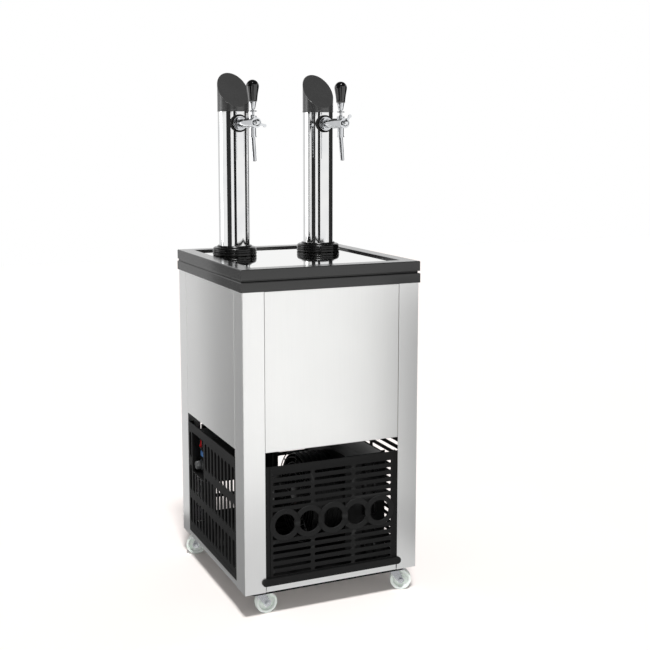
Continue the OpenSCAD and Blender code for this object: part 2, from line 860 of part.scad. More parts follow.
module fan_shroud() {
    color(black) {
        difference() {
            box([shroud_x0, cond_y0, pan_top], [cond_x0, cond_y1, pan_top + cond_h]);
            box([shroud_x0 + sheet_t, cond_y0 + sheet_t, pan_top + sheet_t],
                [cond_x0 + 1, cond_y1 - sheet_t, pan_top + cond_h - sheet_t]);
            along_x(shroud_x0 - 1, fan_y, fan_z) cylinder(r = fan_hole_r, h = sheet_t + 2);
        }
        along_x(guard_x + guard_t + touch, fan_y, fan_z) difference() {
            cylinder(r = fan_hole_r + sheet_t, h = shroud_x0 - guard_x - guard_t);
            translate([0, 0, -1]) cylinder(r = fan_hole_r, h = shroud_x0 - guard_x - guard_t + 2);
        }
    }
}

module fan_guard() {
    rings = 6;
    spokes = 8;
    color(black) along_x(guard_x, fan_y, fan_z) linear_extrude(guard_t) {
        circle(r = fan_motor_r);
        for (i = [1:rings]) let (r = fan_motor_r + (guard_r - fan_motor_r) * i / rings)
            difference() {
                circle(r = r);
                circle(r = r - guard_wire);
            }
        for (i = [0:spokes - 1]) rotate(360 / spokes * i) translate([fan_motor_r - 2, -guard_wire / 2])
            square([guard_r - fan_motor_r, guard_wire]);
    }
}

module fan_motor() {
    color(black) along_x(guard_x + guard_t, fan_y, fan_z) difference() {
        cylinder(r = fan_motor_r, h = fan_motor_len);
        translate([0, 0, 6]) cylinder(r = fan_shaft_r + run_gap, h = fan_motor_len);
    }
}

module fan_blades() {
    tip = fan_hole_r - fan_gap;
    motor_x = guard_x + guard_t;
    color("lightgray") {
        along_x(motor_x + 10, fan_y, fan_z) cylinder(r = fan_shaft_r, h = fan_x - motor_x - 10);
        along_x(fan_x - hub_len / 2, fan_y, fan_z) cylinder(r = fan_hub_r, h = hub_len);
        along_x(fan_x, fan_y, fan_z) for (i = [0:fan_blades_n - 1]) rotate([0, 0, 360 / fan_blades_n * i])
            rotate([fan_tilt, 0, 0]) box([fan_hub_r - 4, -blade_chord / 2, -blade_t / 2],
                [sqrt(tip * tip - blade_chord * blade_chord / 4), blade_chord / 2, blade_t / 2]);
    }
}

// Filter drier: a copper can with drawn-in ends
drier_x = -75;
drier_y = line_y - 4;
drier_lift = 60;
drier_z = pan_top + drier_lift;
drier_h = 100;
drier_r = 10;
drier_neck = 12;

module filter_drier() {
    translate([drier_x, drier_y, drier_z]) rotate_extrude() polygon([
        [0, 0], [pipe_r, 0], [drier_r, drier_neck],
        [drier_r, drier_h - drier_neck], [pipe_r, drier_h], [0, drier_h]
    ]);
}

// Discharge line, liquid line to the drier, feed to the evaporator and suction line
pipe_r = 4;
discharge_h = 88;
suction_h = 70;
liquid_h = 40;
turn_drop = 50;

module refrigerant_lines() {
    side_z = comp_z0 + comp_plate_t + discharge_h;
    low_z = pan_top + liquid_h;
    turn_z = evap_low - turn_drop;
    suction_z = comp_z0 + comp_plate_t + suction_h;
    suction_x = comp_x - evap_x - pipe_r;
    suction_y = comp_y + sqrt(comp_r * comp_r - suction_x * suction_x);
    out_x = max(cond_x1 - 19, comp_x + comp_r + 12);
    color(copper) {
        filter_drier();
        tube(rounded([
            [comp_x + comp_r + touch, comp_y, side_z], [out_x, comp_y, side_z],
            [out_x, cond_y1 + touch, side_z]
        ], bend_r), pipe_r);
        tube(rounded([
            [cond_x0 + 12, cond_y1 + touch, low_z], [cond_x0 + 12, cond_y1 + 14, low_z],
            [drier_x, cond_y1 + 14, low_z], [drier_x, drier_y, low_z], [drier_x, drier_y, drier_z - touch]
        ], bend_r), pipe_r);
        tube(rounded([
            [drier_x, drier_y, drier_z + drier_h + touch], [drier_x, drier_y, turn_z],
            [-evap_x, line_y, turn_z], [-evap_x, line_y, evap_low - touch]
        ], bend_r), pipe_r);
        tube(rounded([
            [evap_x, line_y, evap_low - touch], [evap_x, line_y, suction_z],
            [evap_x, suction_y + touch, suction_z]
        ], bend_r), pipe_r);
    }
}

// Controls behind the window of the left grille
module control_box() {
    y0 = window_y0 - ctrl_margin;
    y1 = window_y1 + ctrl_margin;
    z0 = window_z0 - ctrl_margin;
    z1 = window_z1 + ctrl_margin;
    color(black) difference() {
        union() {
            box([ctrl_x, y0, z0], [ctrl_x + ctrl_d, y1, z1]);
            box([ctrl_x + 10, y0 + 10, pan_top], [ctrl_x + 13, y1 - 10, z0 + 1]);
            box([ctrl_x + 10, y0 + 10, pan_top], [ctrl_x + 40, y1 - 10, pan_top + 3]);
        }
        box([ctrl_x + 2, y0 + 2, z0 + 2], [ctrl_x + ctrl_d - 2, y1 - 2, z1 - 2]);
        box([ctrl_x - 1, ctrl_y - switch_w / 2 + 2, switch_z - switch_h / 2 + 2],
            [ctrl_x + 3, ctrl_y + switch_w / 2 - 2, switch_z + switch_h / 2 - 2]);
        along_x(ctrl_x - 1, ctrl_y, knob_z) cylinder(r = knob_shaft_r + run_gap, h = 4);
    }
}

module switch_housing() {
    w = switch_w / 2;
    h = switch_h / 2;
    color(black) translate([ctrl_x, ctrl_y, switch_z]) difference() {
        union() {
            box([-bezel_t, -w, -h], [0, w, h]);
            box([-1, -w + 2.3, -h + 2.3], [20, w - 2.3, h - 2.3]);
        }
        box([-bezel_t - 1, -w + 4, -h + 4], [14, w - 4, h - 4]);
        rotate([90, 0, 0]) translate([2, 0, -w - 1]) cylinder(r = rocker_pin_r + run_gap, h = switch_w + 2);
    }
}

// The rocker rests with its upper half pressed in
module power_rocker() {
    w = switch_w / 2 - 4 - rocker_gap;
    h = switch_h / 2 - 4 - rocker_gap - 0.4;
    pin = switch_w / 2 - 2.6;
    color("firebrick") translate([ctrl_x + 2, ctrl_y, switch_z]) rotate([0, rocker_tilt, 0]) {
        rotate([90, 0, 0]) translate([0, 0, -pin]) cylinder(r = rocker_pin_r, h = 2 * pin);
        translate([0, w, 0]) rotate([90, 0, 0]) linear_extrude(2 * w) polygon([
            [-5, -h], [-6.6, -h + 0.6], [-4.6, 0], [-6.6, h - 0.6], [-5, h], [4, 3], [4, -3]
        ]);
    }
}

module control_label() {
    color("steelblue") box(
        [ctrl_x - label_t, ctrl_y - label_size[0] / 2, label_z - label_size[1] / 2],
        [ctrl_x, ctrl_y + label_size[0] / 2, label_z + label_size[1] / 2]
    );
}

module thermostat_knob() {
    color("dimgray") along_x(ctrl_x - knob_lift, ctrl_y, knob_z) rotate([0, 180, 0]) {
        translate([0, 0, -8 - knob_lift]) cylinder(r = knob_shaft_r, h = 10 + knob_lift);
        cylinder(r1 = knob_r, r2 = knob_r - 1.5, h = 4);
        cylinder(r1 = knob_r - 3, r2 = knob_r - 4, h = knob_len);
        box([-1, 0, 3], [1, knob_r - 2, knob_len - 0.01]);
    }
}

// Connections at the rear
module along_y(x, y, z) {
    translate([x, y, z]) rotate([-90, 0, 0]) children();
}

inlet_places = [-left_coil_r, right_coil_r];

module connection_plate() {
    color(steel) difference() {
        box([-front_grille_w / 2, inlet_y - plate_t, inlet_plate_z0],
            [front_grille_w / 2, inlet_y, panel_z0]);
        for (x = inlet_places) along_y(x, inlet_y - plate_t - 1, inlet_z)
            cylinder(r = thread_r + touch, h = plate_t + 2);
        along_y(0, inlet_y - plate_t - 1, inlet_z) cylinder(r = thread_r + touch, h = plate_t + 2);
    }
}

module beer_inlets() {
    color(chrome) for (x = inlet_places) {
        along_y(x, inlet_y, inlet_z) cylinder(r = inlet_nut_r, h = 5, $fn = 6);
        along_y(x, inlet_y + 5, inlet_z) cylinder(r = inlet_r, h = inlet_len);
        along_y(x, inlet_y - plate_t - 6 + touch, inlet_z) cylinder(r = thread_r, h = plate_t + 6);
    }
}

module mains_gland() {
    color(black) difference() {
        union() {
            along_y(0, inlet_y, inlet_z) cylinder(r = gland_body_r, h = 16);
            along_y(0, inlet_y, inlet_z) cylinder(r = gland_body_r + 2, h = 5, $fn = 6);
            along_y(0, inlet_y - plate_t - 8, inlet_z) cylinder(r = thread_r, h = plate_t + 9);
        }
        along_y(0, inlet_y - plate_t - 9, inlet_z) cylinder(r = gland_r, h = plate_t + 26);
    }
}

// Casters
caster_x = hx - caster_in_x;
caster_y = hy - caster_in_y;
// Place of each swivel axis and the way its wheel trails at rest
caster_places = [
    [-caster_x, -caster_y, 0], [caster_x, -caster_y, -23],
    [-caster_x, caster_y, 157], [caster_x, caster_y, 205]
];
caster_bolt_r = 3;
caster_bolt_in = 7;
race_r = 19;
kingpin_r = 4;
fork_gap = 1.2;
fork_t = 2.5;
fork_boss_r = 8;

module caster_bolt_places() {
    b = caster_plate_w / 2 - caster_bolt_in;
    for (i = [-1, 1], k = [-1, 1]) translate([i * b, k * b, 0]) children();
}

module caster_plates() {
    caster_bolts();
    color(zinc) for (p = caster_places) translate([p[0], p[1], 0]) difference() {
        union() {
            translate([0, 0, cab_z0 - caster_plate_t / 2])
                cube([caster_plate_w, caster_plate_w, caster_plate_t], center = true);
            translate([0, 0, race_z0]) cylinder(r = race_r, h = race_h + 0.1);
        }
        translate([0, 0, race_z0 - 1]) cylinder(r = kingpin_r + run_gap, h = race_h + caster_plate_t + 2);
        translate([0, 0, cab_z0 - caster_plate_t]) caster_bolt_places()
            translate([0, 0, -1]) cylinder(r = caster_bolt_r + touch, h = caster_plate_t + 2);
    }
}

// Hexagon bolts through the plate and the base pan, each with its nut inside
module caster_bolts() {
    head_h = 3;
    nut_h = 5;
    color(zinc) for (p = caster_places) translate([p[0], p[1], cab_z0]) caster_bolt_places() {
        translate([0, 0, -caster_plate_t - head_h - touch]) {
            cylinder(r = 5, h = head_h, $fn = 6);
            cylinder(r = caster_bolt_r, h = head_h + caster_plate_t + plate_t + nut_h + 2);
        }
        translate([0, 0, plate_t + touch]) cylinder(r = 5, h = nut_h, $fn = 6);
    }
}

module at_caster(i) {
    p = caster_places[i];
    translate([p[0], p[1], 0]) rotate([0, 0, p[2]]) children();
}

module across(x, y, z) {
    translate([x, y, z]) rotate([90, 0, 0]) children();
}

module caster_fork(i) {
    inner = wheel_w / 2 + fork_gap;
    outer = inner + fork_t;
    color(zinc) at_caster(i) {
        difference() {
            union() {
                translate([0, 0, crown_z0]) cylinder(r = race_r, h = crown_t);
                translate([0, 0, crown_z0]) cylinder(r = kingpin_r, h = caster_h - crown_z0 - 0.5);
                for (y = [-inner, outer]) across(0, y, 0) linear_extrude(fork_t) {
                    polygon([
                        [-race_r * 0.6, crown_z1], [race_r * 0.7, crown_z1],
                        [trail + fork_boss_r, wheel_r], [trail, wheel_r - fork_boss_r],
                        [trail - fork_boss_r * 0.8, wheel_r - fork_boss_r * 0.6]
                    ]);
                    translate([trail, wheel_r]) circle(r = fork_boss_r);
                }
            }
            across(trail, outer + 1, wheel_r) cylinder(r = axle_r + run_gap, h = 2 * outer + 2);
        }
        across(trail, outer + 4, wheel_r) cylinder(r = axle_r, h = 2 * outer + 8);
        across(trail, outer + 4, wheel_r) cylinder(r = axle_r + 2.5, h = 4 - touch, $fn = 6);
        across(trail, -outer - touch, wheel_r) cylinder(r = axle_r + 2.5, h = 4 - touch, $fn = 6);
    }
}

module caster_wheel(i) {
    w = wheel_w / 2;
    hub = axle_r + 5;
    rim = wheel_r - 6;
    web = 3;
    color([0.9, 0.93, 0.9]) at_caster(i) across(trail, 0, wheel_r) rotate_extrude() polygon([
        [axle_r + run_gap, -w], [hub, -w], [hub + 1, -web], [rim - 1, -web], [rim, -w], [wheel_r - 2, -w],
        [wheel_r, -w + 2], [wheel_r, w - 2], [wheel_r - 2, w], [rim, w], [rim - 1, web], [hub + 1, web],
        [hub, w], [axle_r + run_gap, w]
    ]);
}

// Towers
module tower_bases() {
    round = min(7, base_h - 2);
    collar_h = 4;
    color(black) at_towers() translate([0, 0, top_z1]) rotate_extrude() polygon([
        [tube_r + touch, 0], [base_r, 0],
        for (a = [0:15:90]) [base_r - round + round * cos(a), base_h - round + round * sin(a)],
        [tube_r + 5, base_h], [tube_r + 3.5, base_h + collar_h], [tube_r + touch, base_h + collar_h]
    ]);
}

module tower_tubes() {
    color(chrome) at_towers() difference() {
        translate([0, 0, top_z1]) cylinder(r = tube_r, h = tube_h);
        translate([0, 0, top_z1 - 1]) cylinder(r = tube_r - tube_wall, h = tube_h + 2);
        translate([0, 0, tap_z]) rotate([90, 0, 0]) cylinder(r = shank_r + touch, h = tube_r + 5);
    }
}

module tower_caps() {
    r = tube_r + 0.5;
    plug_h = 10;
    slope = atan((cap_back_h - cap_front_h) / (2 * r));
    color(black) at_towers() translate([0, 0, tube_z1]) {
        difference() {
            cylinder(r = r, h = cap_back_h);
            translate([0, -r, cap_front_h]) rotate([slope, 0, 0])
                box([-2 * r, -3 * r, 0], [2 * r, 6 * r, 3 * cap_back_h]);
        }
        translate([0, 0, -plug_h]) cylinder(r = tube_r - tube_wall - touch, h = plug_h + 1);
    }
}

// Taps, drawn along -Y from the tower's axis
module at_taps() {
    for (s = [-1, 1]) at_tap(s) children();
}

module at_tap(s) {
    translate([s * tower_x, tower_y, tap_z]) children();
}

module reach(u0, u1, r, sides = 64) {
    translate([0, -u0, 0]) rotate([90, 0, 0]) cylinder(r = r, h = u1 - u0, $fn = sides);
}

module tap_gaskets() {
    color(rubber) at_taps() difference() {
        reach(tube_r - 10, gasket_u, gasket_r);
        translate([0, 0, -gasket_r - 1]) cylinder(r = tube_r + touch, h = 2 * gasket_r + 2);
        reach(tube_r - 11, gasket_u + 1, shank_r + touch);
    }
}

// Shank with its flange and hexagon, and the lock nut inside the tower
module tap_shanks() {
    nut_u = gasket_u + flange_t;
    color(chrome) at_taps() difference() {
        union() {
            reach(shank_tail_u, barrel_u0, shank_r);
            reach(gasket_u, nut_u, gasket_r - 4);
            reach(nut_u, nut_u + nut_t, shank_r + 5, 6);
        }
        reach(shank_tail_u - 1, barrel_u0 + 1, line_r);
    }
    color(zinc) at_taps() difference() {
        reach(shank_tail_u + 1, shank_tail_u + 8, shank_r + 5, 6);
        reach(shank_tail_u, shank_tail_u + 9, shank_r + touch);
    }
}

module tap_bodies() {
    bore_u0 = barrel_u0 + 3;
    bore_u1 = barrel_u1 - 5.5;
    slot_w = 2 * (ball_r + fit);
    color(chrome) at_taps() {
        difference() {
            union() {
                reach(barrel_u0, barrel_u1, barrel_r);
                translate([0, -lever_u, 0]) cylinder(r = boss_r, h = pivot_h + boss_over);
                translate([0, -lever_u, socket_z]) cylinder(r = socket_r, h = -socket_z);
            }
            reach(bore_u0, bore_u1, plunger_r + run_gap);
            translate([0, -lever_u, 0]) cylinder(r = boss_bore_r, h = pivot_h + boss_over + 1);
            translate([0, -lever_u, 0])
                box([-slot_w / 2, -ball_r - 0.5, 0], [slot_w / 2, plunger_travel + ball_r + 1, pivot_h]);
            reach(bore_u1 - 1, barrel_u1 + 1, flow_shaft_r + run_gap);
            translate([0, -lever_u, socket_z - 1]) cylinder(r = spout_r - spout_wall, h = -socket_z);
        }
        translate([-boss_r + 1, -lever_u, pivot_h]) rotate([0, 90, 0])
            cylinder(r = pin_r, h = 2 * boss_r - 2);
    }
}

// Spout: a ring under the socket and the leaning outlet, which starts inside the ring
module at_spout() {
    at_taps() translate([0, -lever_u, socket_z - spout_ring_h / 2]) children();
}

module tap_spouts() {
    color(chrome) at_spout() difference() {
        union() {
            translate([0, 0, -spout_ring_h / 2]) cylinder(r = socket_r + 1, h = spout_ring_h);
            rotate([180 - spout_lean, 0, 0]) {
                cylinder(r = spout_r, h = spout_len - spout_tip);
                cylinder(r = spout_tip_r, h = spout_len);
            }
        }
        rotate([180 - spout_lean, 0, 0]) translate([0, 0, 6])
            cylinder(r = spout_r - spout_wall, h = spout_len);
    }
}

// Heights on the lever above its pivot
disc_z = max(11, disc_r * tan(pull_angle) + boss_over / cos(pull_angle) + 1);
ferrule_z = disc_z + disc_h + 3;
grip_z = ferrule_z + ferrule_h;
grip_foot_r = 10.5;
grip_hole = 11;

module at_pivot(s) {
    at_tap(s) translate([0, -lever_u, pivot_h]) children();
}

// Lever: a finger in the plunger, a hub on the pivot pin, a stem with its collar, and a ferrule
module tap_lever(s) {
    color(chrome) at_pivot(s) difference() {
        union() {
            sphere(r = hub_r);
            translate([0, 0, -pivot_h]) cylinder(r = finger_r, h = pivot_h);
            translate([0, 0, -pivot_h]) sphere(r = ball_r);
            cylinder(r = stem_r, h = grip_z + grip_hole - 1);
            translate([0, 0, disc_z]) cylinder(r = disc_r, h = disc_h);
            translate([0, 0, ferrule_z]) cylinder(r1 = stem_r + 2, r2 = grip_foot_r - 1.5, h = ferrule_h);
        }
        rotate([0, 90, 0]) cylinder(r = pin_r + run_gap, h = 4 * hub_r, center = true);
    }
}

// Knob on the stem, wider towards its round top
module tap_knob(s) {
    crown = 10;
    color(black) at_pivot(s) translate([0, 0, grip_z]) rotate_extrude() polygon([
        [stem_r + touch, 0], [grip_foot_r, 0],
        [grip_foot_r + 1.5, 0.35 * grip_h], [grip_r - 1, 0.65 * grip_h],
        for (a = [0:15:75]) [grip_r * cos(a), grip_h - crown + crown * sin(a)],
        [0, grip_h], [0, grip_hole], [stem_r + touch, grip_hole]
    ]);
}

flow_shaft_r = 3;
flow_disc_r = 8;
flow_lift = 0.3;

module flow_lever(s, turn) {
    color(chrome) at_tap(s) translate([0, -barrel_u1, 0]) {
        translate([0, 4, 0]) reach(0, 5, flow_shaft_r);
        translate([0, -flow_lift, 0]) rotate([90, 0, 0]) rotate_extrude() polygon([
            [0, 0], [flow_disc_r, 0], [flow_disc_r, 5],
            for (a = [15:15:75]) [flow_disc_r * cos(a), 5 + 4.5 * sin(a)], [0, 9.5]
        ]);
        rotate([0, -turn, 0]) translate([0, -flow_lift - 1, 0]) {
            box([4, -3, -2.5], [flow_arm, 0, 2.5]);
            translate([flow_arm, 0, 0]) rotate([90, 0, 0]) cylinder(r = 4, h = 3);
        }
    }
}

module valve_plunger(s) {
    notch = finger_r / cos(pull_angle) + plunger_r * tan(pull_angle) + fit;
    back = barrel_back - 3 - plunger_travel - 1;
    front = barrel_front - 5.5 - 1;
    color(zinc) at_tap(s) difference() {
        reach(lever_u - back, lever_u + front, plunger_r);
        translate([0, -lever_u, 0])
            box([-plunger_r - 1, -notch, -ball_r - fit], [plunger_r + 1, notch, plunger_r + 1]);
    }
}

base_pan();
corner_posts();
front_panel();
rear_panel();
side_panels();
deck_plate();
front_grille();
left_grille();
right_grille();
rear_grille();
lower_trim_frame();
upper_trim_frame();
top_plate();
tank_foam();
tank_liner();
tank_lid();
evaporator_coil();
beer_lines();
agitator_motor();
agitator_impeller();
compressor();
compressor_feet();
condenser();
fan_shroud();
fan_guard();
fan_motor();
fan_blades();
refrigerant_lines();
control_box();
switch_housing();
power_rocker();
control_label();
thermostat_knob();
connection_plate();
beer_inlets();
mains_gland();
caster_plates();
caster_fork(0);  // front_left_fork
caster_fork(1);  // front_right_fork
caster_fork(2);  // rear_left_fork
caster_fork(3);  // rear_right_fork
caster_wheel(0);  // front_left_wheel
caster_wheel(1);  // front_right_wheel
caster_wheel(2);  // rear_left_wheel
caster_wheel(3);  // rear_right_wheel
tower_bases();
tower_tubes();
tower_caps();
tap_gaskets();
tap_shanks();
tap_bodies();
tap_spouts();
tap_lever(-1);  // left_tap_lever
tap_lever(1);  // right_tap_lever
tap_knob(-1);  // left_tap_knob
tap_knob(1);  // right_tap_knob
flow_lever(-1, flow_rest[0]);  // left_flow_lever
flow_lever(1, flow_rest[1]);  // right_flow_lever
valve_plunger(-1);  // left_valve_plunger
valve_plunger(1);  // right_valve_plunger
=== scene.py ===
# Looks of the draft beer dispenser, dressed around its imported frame
import json
import math
import bpy
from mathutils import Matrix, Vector


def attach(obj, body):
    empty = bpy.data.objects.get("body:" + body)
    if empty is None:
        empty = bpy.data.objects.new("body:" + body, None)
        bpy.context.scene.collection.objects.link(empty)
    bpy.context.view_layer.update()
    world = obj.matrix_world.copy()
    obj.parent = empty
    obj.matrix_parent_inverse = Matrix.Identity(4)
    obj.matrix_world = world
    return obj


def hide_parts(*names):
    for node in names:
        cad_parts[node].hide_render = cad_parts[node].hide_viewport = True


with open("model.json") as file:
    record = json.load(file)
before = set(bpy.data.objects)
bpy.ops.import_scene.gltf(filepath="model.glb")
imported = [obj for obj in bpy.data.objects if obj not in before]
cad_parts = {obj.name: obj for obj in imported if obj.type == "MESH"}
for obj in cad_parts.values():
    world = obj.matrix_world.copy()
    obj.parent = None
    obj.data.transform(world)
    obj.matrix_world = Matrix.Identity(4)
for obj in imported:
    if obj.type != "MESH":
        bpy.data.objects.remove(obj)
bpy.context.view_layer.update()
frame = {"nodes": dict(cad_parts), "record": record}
bodyOf = {node: body for body, nodes in frame["record"]["behaviour"]["bodies"].items() for node in nodes}
print("frame loaded:", len(frame["nodes"]), "nodes")


# hands: picking, shaping, placing
def metres(values):
    return tuple(v / 1000 for v in values)


def pickOnly(*objs):
    if bpy.context.mode != "OBJECT":
        bpy.ops.object.mode_set(mode="OBJECT")
    bpy.ops.object.select_all(action="DESELECT")
    for obj in objs:
        obj.select_set(True)
    bpy.context.view_layer.objects.active = objs[0] if objs else None


def intoEdit(obj):
    pickOnly(obj)
    bpy.ops.object.mode_set(mode="EDIT")
    bpy.ops.mesh.select_mode(type="VERT")
    bpy.ops.mesh.select_all(action="SELECT")


def fixPlace(obj, at=(0, 0, 0), turn=(0, 0, 0)):
    # moves a piece that was made on the Z axis to its place, and keeps that place in the mesh
    pickOnly(obj)
    obj.location = metres(at)
    obj.rotation_euler = [math.radians(a) for a in turn]
    bpy.ops.object.transform_apply(location=True, rotation=True, scale=True)
    return obj


def useModifier(obj, kind, **settings):
    pickOnly(obj)
    made = obj.modifiers.new(kind.lower(), kind)
    for key, value in settings.items():
        setattr(made, key, value)
    bpy.ops.object.modifier_apply(modifier=made.name)
    return obj


def smoothOver(obj, angle=35):
    pickOnly(obj)
    bpy.ops.object.shade_smooth_by_angle(angle=math.radians(angle))
    return obj


def roundEdges(obj, width, steps=3, angle=32):
    useModifier(obj, "BEVEL", width=width / 1000, segments=steps, limit_method="ANGLE",
                angle_limit=math.radians(angle), miter_outer="MITER_ARC")
    smoothOver(obj, angle=40)
    return useModifier(obj, "WEIGHTED_NORMAL", keep_sharp=True)


def roundPicked(obj, test, width, steps=4):
    # rounds only the edges whose two ends pass the test
    pickOnly(obj)
    mesh = obj.data
    for part in (mesh.polygons, mesh.edges, mesh.vertices):
        part.foreach_set("select", [False] * len(part))
    for edge in mesh.edges:
        edge.select = all(test(mesh.vertices[v].co * 1000) for v in edge.vertices)
    bpy.ops.object.mode_set(mode="EDIT")
    bpy.ops.mesh.select_mode(type="EDGE")
    bpy.ops.mesh.bevel(offset=width / 1000, segments=steps, affect="EDGES")
    bpy.ops.object.mode_set(mode="OBJECT")
    return obj


def plainName(node):
    # deck_plate becomes deckPlate
    first, *others = node.split("_")
    return first + "".join(word.title() for word in others)


def copyOfNode(node):
    # a CAD node's triangles are loose, so the copy is merged and its flat faces are joined
    obj = bpy.data.objects.new(plainName(node), frame["nodes"][node].data.copy())
    bpy.context.scene.collection.objects.link(obj)
    obj.data.materials.clear()
    pickOnly(obj)
    if obj.data.has_custom_normals:
        bpy.ops.mesh.customdata_custom_splitnormals_clear()
    intoEdit(obj)
    bpy.ops.mesh.remove_doubles(threshold=0.000005)
    bpy.ops.mesh.dissolve_limited(angle_limit=math.radians(0.4))
    bpy.ops.object.mode_set(mode="OBJECT")
    return obj


def block(name, spanX, spanY, spanZ):
    # a box from one place to another along each axis
    pickOnly()
    spans = (spanX, spanY, spanZ)
    bpy.ops.mesh.primitive_cube_add(size=1, location=metres([(a + b) / 2 for a, b in spans]))
    obj = bpy.context.object
    obj.name = name
    obj.scale = metres([b - a for a, b in spans])
    bpy.ops.object.transform_apply(location=True, rotation=True, scale=True)
    return obj


def onSide(way, span):
    # the same stretch of X on the left (-1) or the right (1)
    return sorted(way * x for x in span)


# how a piece made on the Z axis is turned to lie along another
towards = {"+x": (0, 90, 0), "+y": (-90, 0, 0), "-y": (90, 0, 0), "+z": (0, 0, 0)}


def turned(name, outline, sides, along="+z", at=(0, 0, 0), ring=False):
    # a lathe by hand: one circle, then extrude and scale it from (radius, height) to (radius, height)
    pickOnly()
    radius, height = metres(outline[0])
    bpy.ops.mesh.primitive_circle_add(vertices=sides, radius=radius, location=(0, 0, height))
    obj = bpy.context.object
    obj.name = name
    bpy.ops.object.transform_apply(location=True, rotation=True, scale=True)
    intoEdit(obj)
    for (r0, z0), (r1, z1) in zip(outline, outline[1:]):
        bpy.ops.mesh.extrude_region_move(TRANSFORM_OT_translate={"value": (0, 0, (z1 - z0) / 1000)})
        if r1 != r0:
            bpy.ops.transform.resize(value=(r1 / r0, r1 / r0, 1), center_override=(0, 0, 0))
    bpy.ops.mesh.select_mode(type="EDGE")
    bpy.ops.mesh.select_all(action="DESELECT")
    bpy.ops.mesh.select_non_manifold()
    if ring:
        bpy.ops.mesh.bridge_edge_loops()
    else:
        bpy.ops.mesh.fill_holes(sides=0)
    bpy.ops.mesh.select_all(action="SELECT")
    bpy.ops.mesh.normals_make_consistent(inside=False)
    bpy.ops.object.mode_set(mode="OBJECT")
    fixPlace(obj, at, towards[along])
    return smoothOver(obj, angle=34)


def arc(middle, radius, start, end, steps):
    # points of a quarter round or dome in an outline
    turns = [math.radians(start + (end - start) * i / steps) for i in range(steps + 1)]
    return [(middle[0] + radius[0] * math.cos(a), middle[1] + radius[1] * math.sin(a)) for a in turns]


def joined(obj, *others):
    pickOnly(obj, *others)
    bpy.ops.object.join()
    return obj


def copied(obj, at):
    twin = obj.copy()
    twin.data = obj.data.copy()
    bpy.context.scene.collection.objects.link(twin)
    return fixPlace(twin, at)


def cutWith(obj, tool, way="DIFFERENCE"):
    useModifier(obj, "BOOLEAN", operation=way, object=tool, solver="EXACT")
    bpy.data.objects.remove(tool)
    return obj


def bentRoute(points, bend):
    # the straight route with its corners rounded
    shares = (0, 0.17, 0.33, 0.5, 0.67, 0.83, 1)
    route = [Vector(points[0])]
    for before, corner, after in zip(points, points[1:], points[2:]):
        a, b, c = Vector(before), Vector(corner), Vector(after)
        reach = min(bend, (a - b).length / 2, (c - b).length / 2)
        p = b + reach * (a - b).normalized()
        q = b + reach * (c - b).normalized()
        route += [(1 - t) ** 2 * p + 2 * t * (1 - t) * b + t * t * q for t in shares]
    return route + [Vector(points[-1])]


def pipe(name, route, radius):
    curve = bpy.data.curves.new(name, "CURVE")
    curve.dimensions = "3D"
    curve.bevel_depth = radius / 1000
    curve.bevel_resolution = 3
    curve.use_fill_caps = True
    line = curve.splines.new("POLY")
    line.points.add(len(route) - 1)
    for point, place in zip(line.points, route):
        point.co = (*metres(place), 1)
    obj = bpy.data.objects.new(name, curve)
    bpy.context.scene.collection.objects.link(obj)
    pickOnly(obj)
    bpy.ops.object.convert(target="MESH")
    return smoothOver(bpy.context.object, angle=50)


def settle(obj, finish, *nodes):
    # gives a piece its finish and its body, and lets it stand for its CAD nodes
    obj.data.materials.clear()
    obj.data.materials.append(finish)
    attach(obj, bodyOf[nodes[0]])
    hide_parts(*nodes)
    return obj


def addOn(obj, finish, body):
    # a small piece of its own that has no CAD node
    obj.data.materials.clear()
    obj.data.materials.append(finish)
    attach(obj, body)
    return obj


def dressed(node, finish, work):
    # a finer copy of a CAD node, with its edges rounded
    return settle(roundEdges(copyOfNode(node), work["round"], work.get("steps", 3)), finish, node)


# finishes
def linear(code):
    parts = [int(code[i:i + 2], 16) / 255 for i in (1, 3, 5)]
    return (*(p / 12.92 if p <= 0.04045 else ((p + 0.055) / 1.055) ** 2.4 for p in parts), 1)


def putNode(tree, kind, inputs=None, **settings):
    node = tree.nodes.new("ShaderNode" + kind)
    for key, value in settings.items():
        setattr(node, key, value)
    for key, value in (inputs or {}).items():
        if isinstance(value, bpy.types.NodeSocket):
            tree.links.new(value, node.inputs[key])
        else:
            node.inputs[key].default_value = value
    return node


noiseSpan = {"From Min": 0.25, "From Max": 0.75}  # where most of the noise lies
edgeSpan = {"From Min": 0.53, "From Max": 0.62}  # pointiness, from a sound edge to a worn one


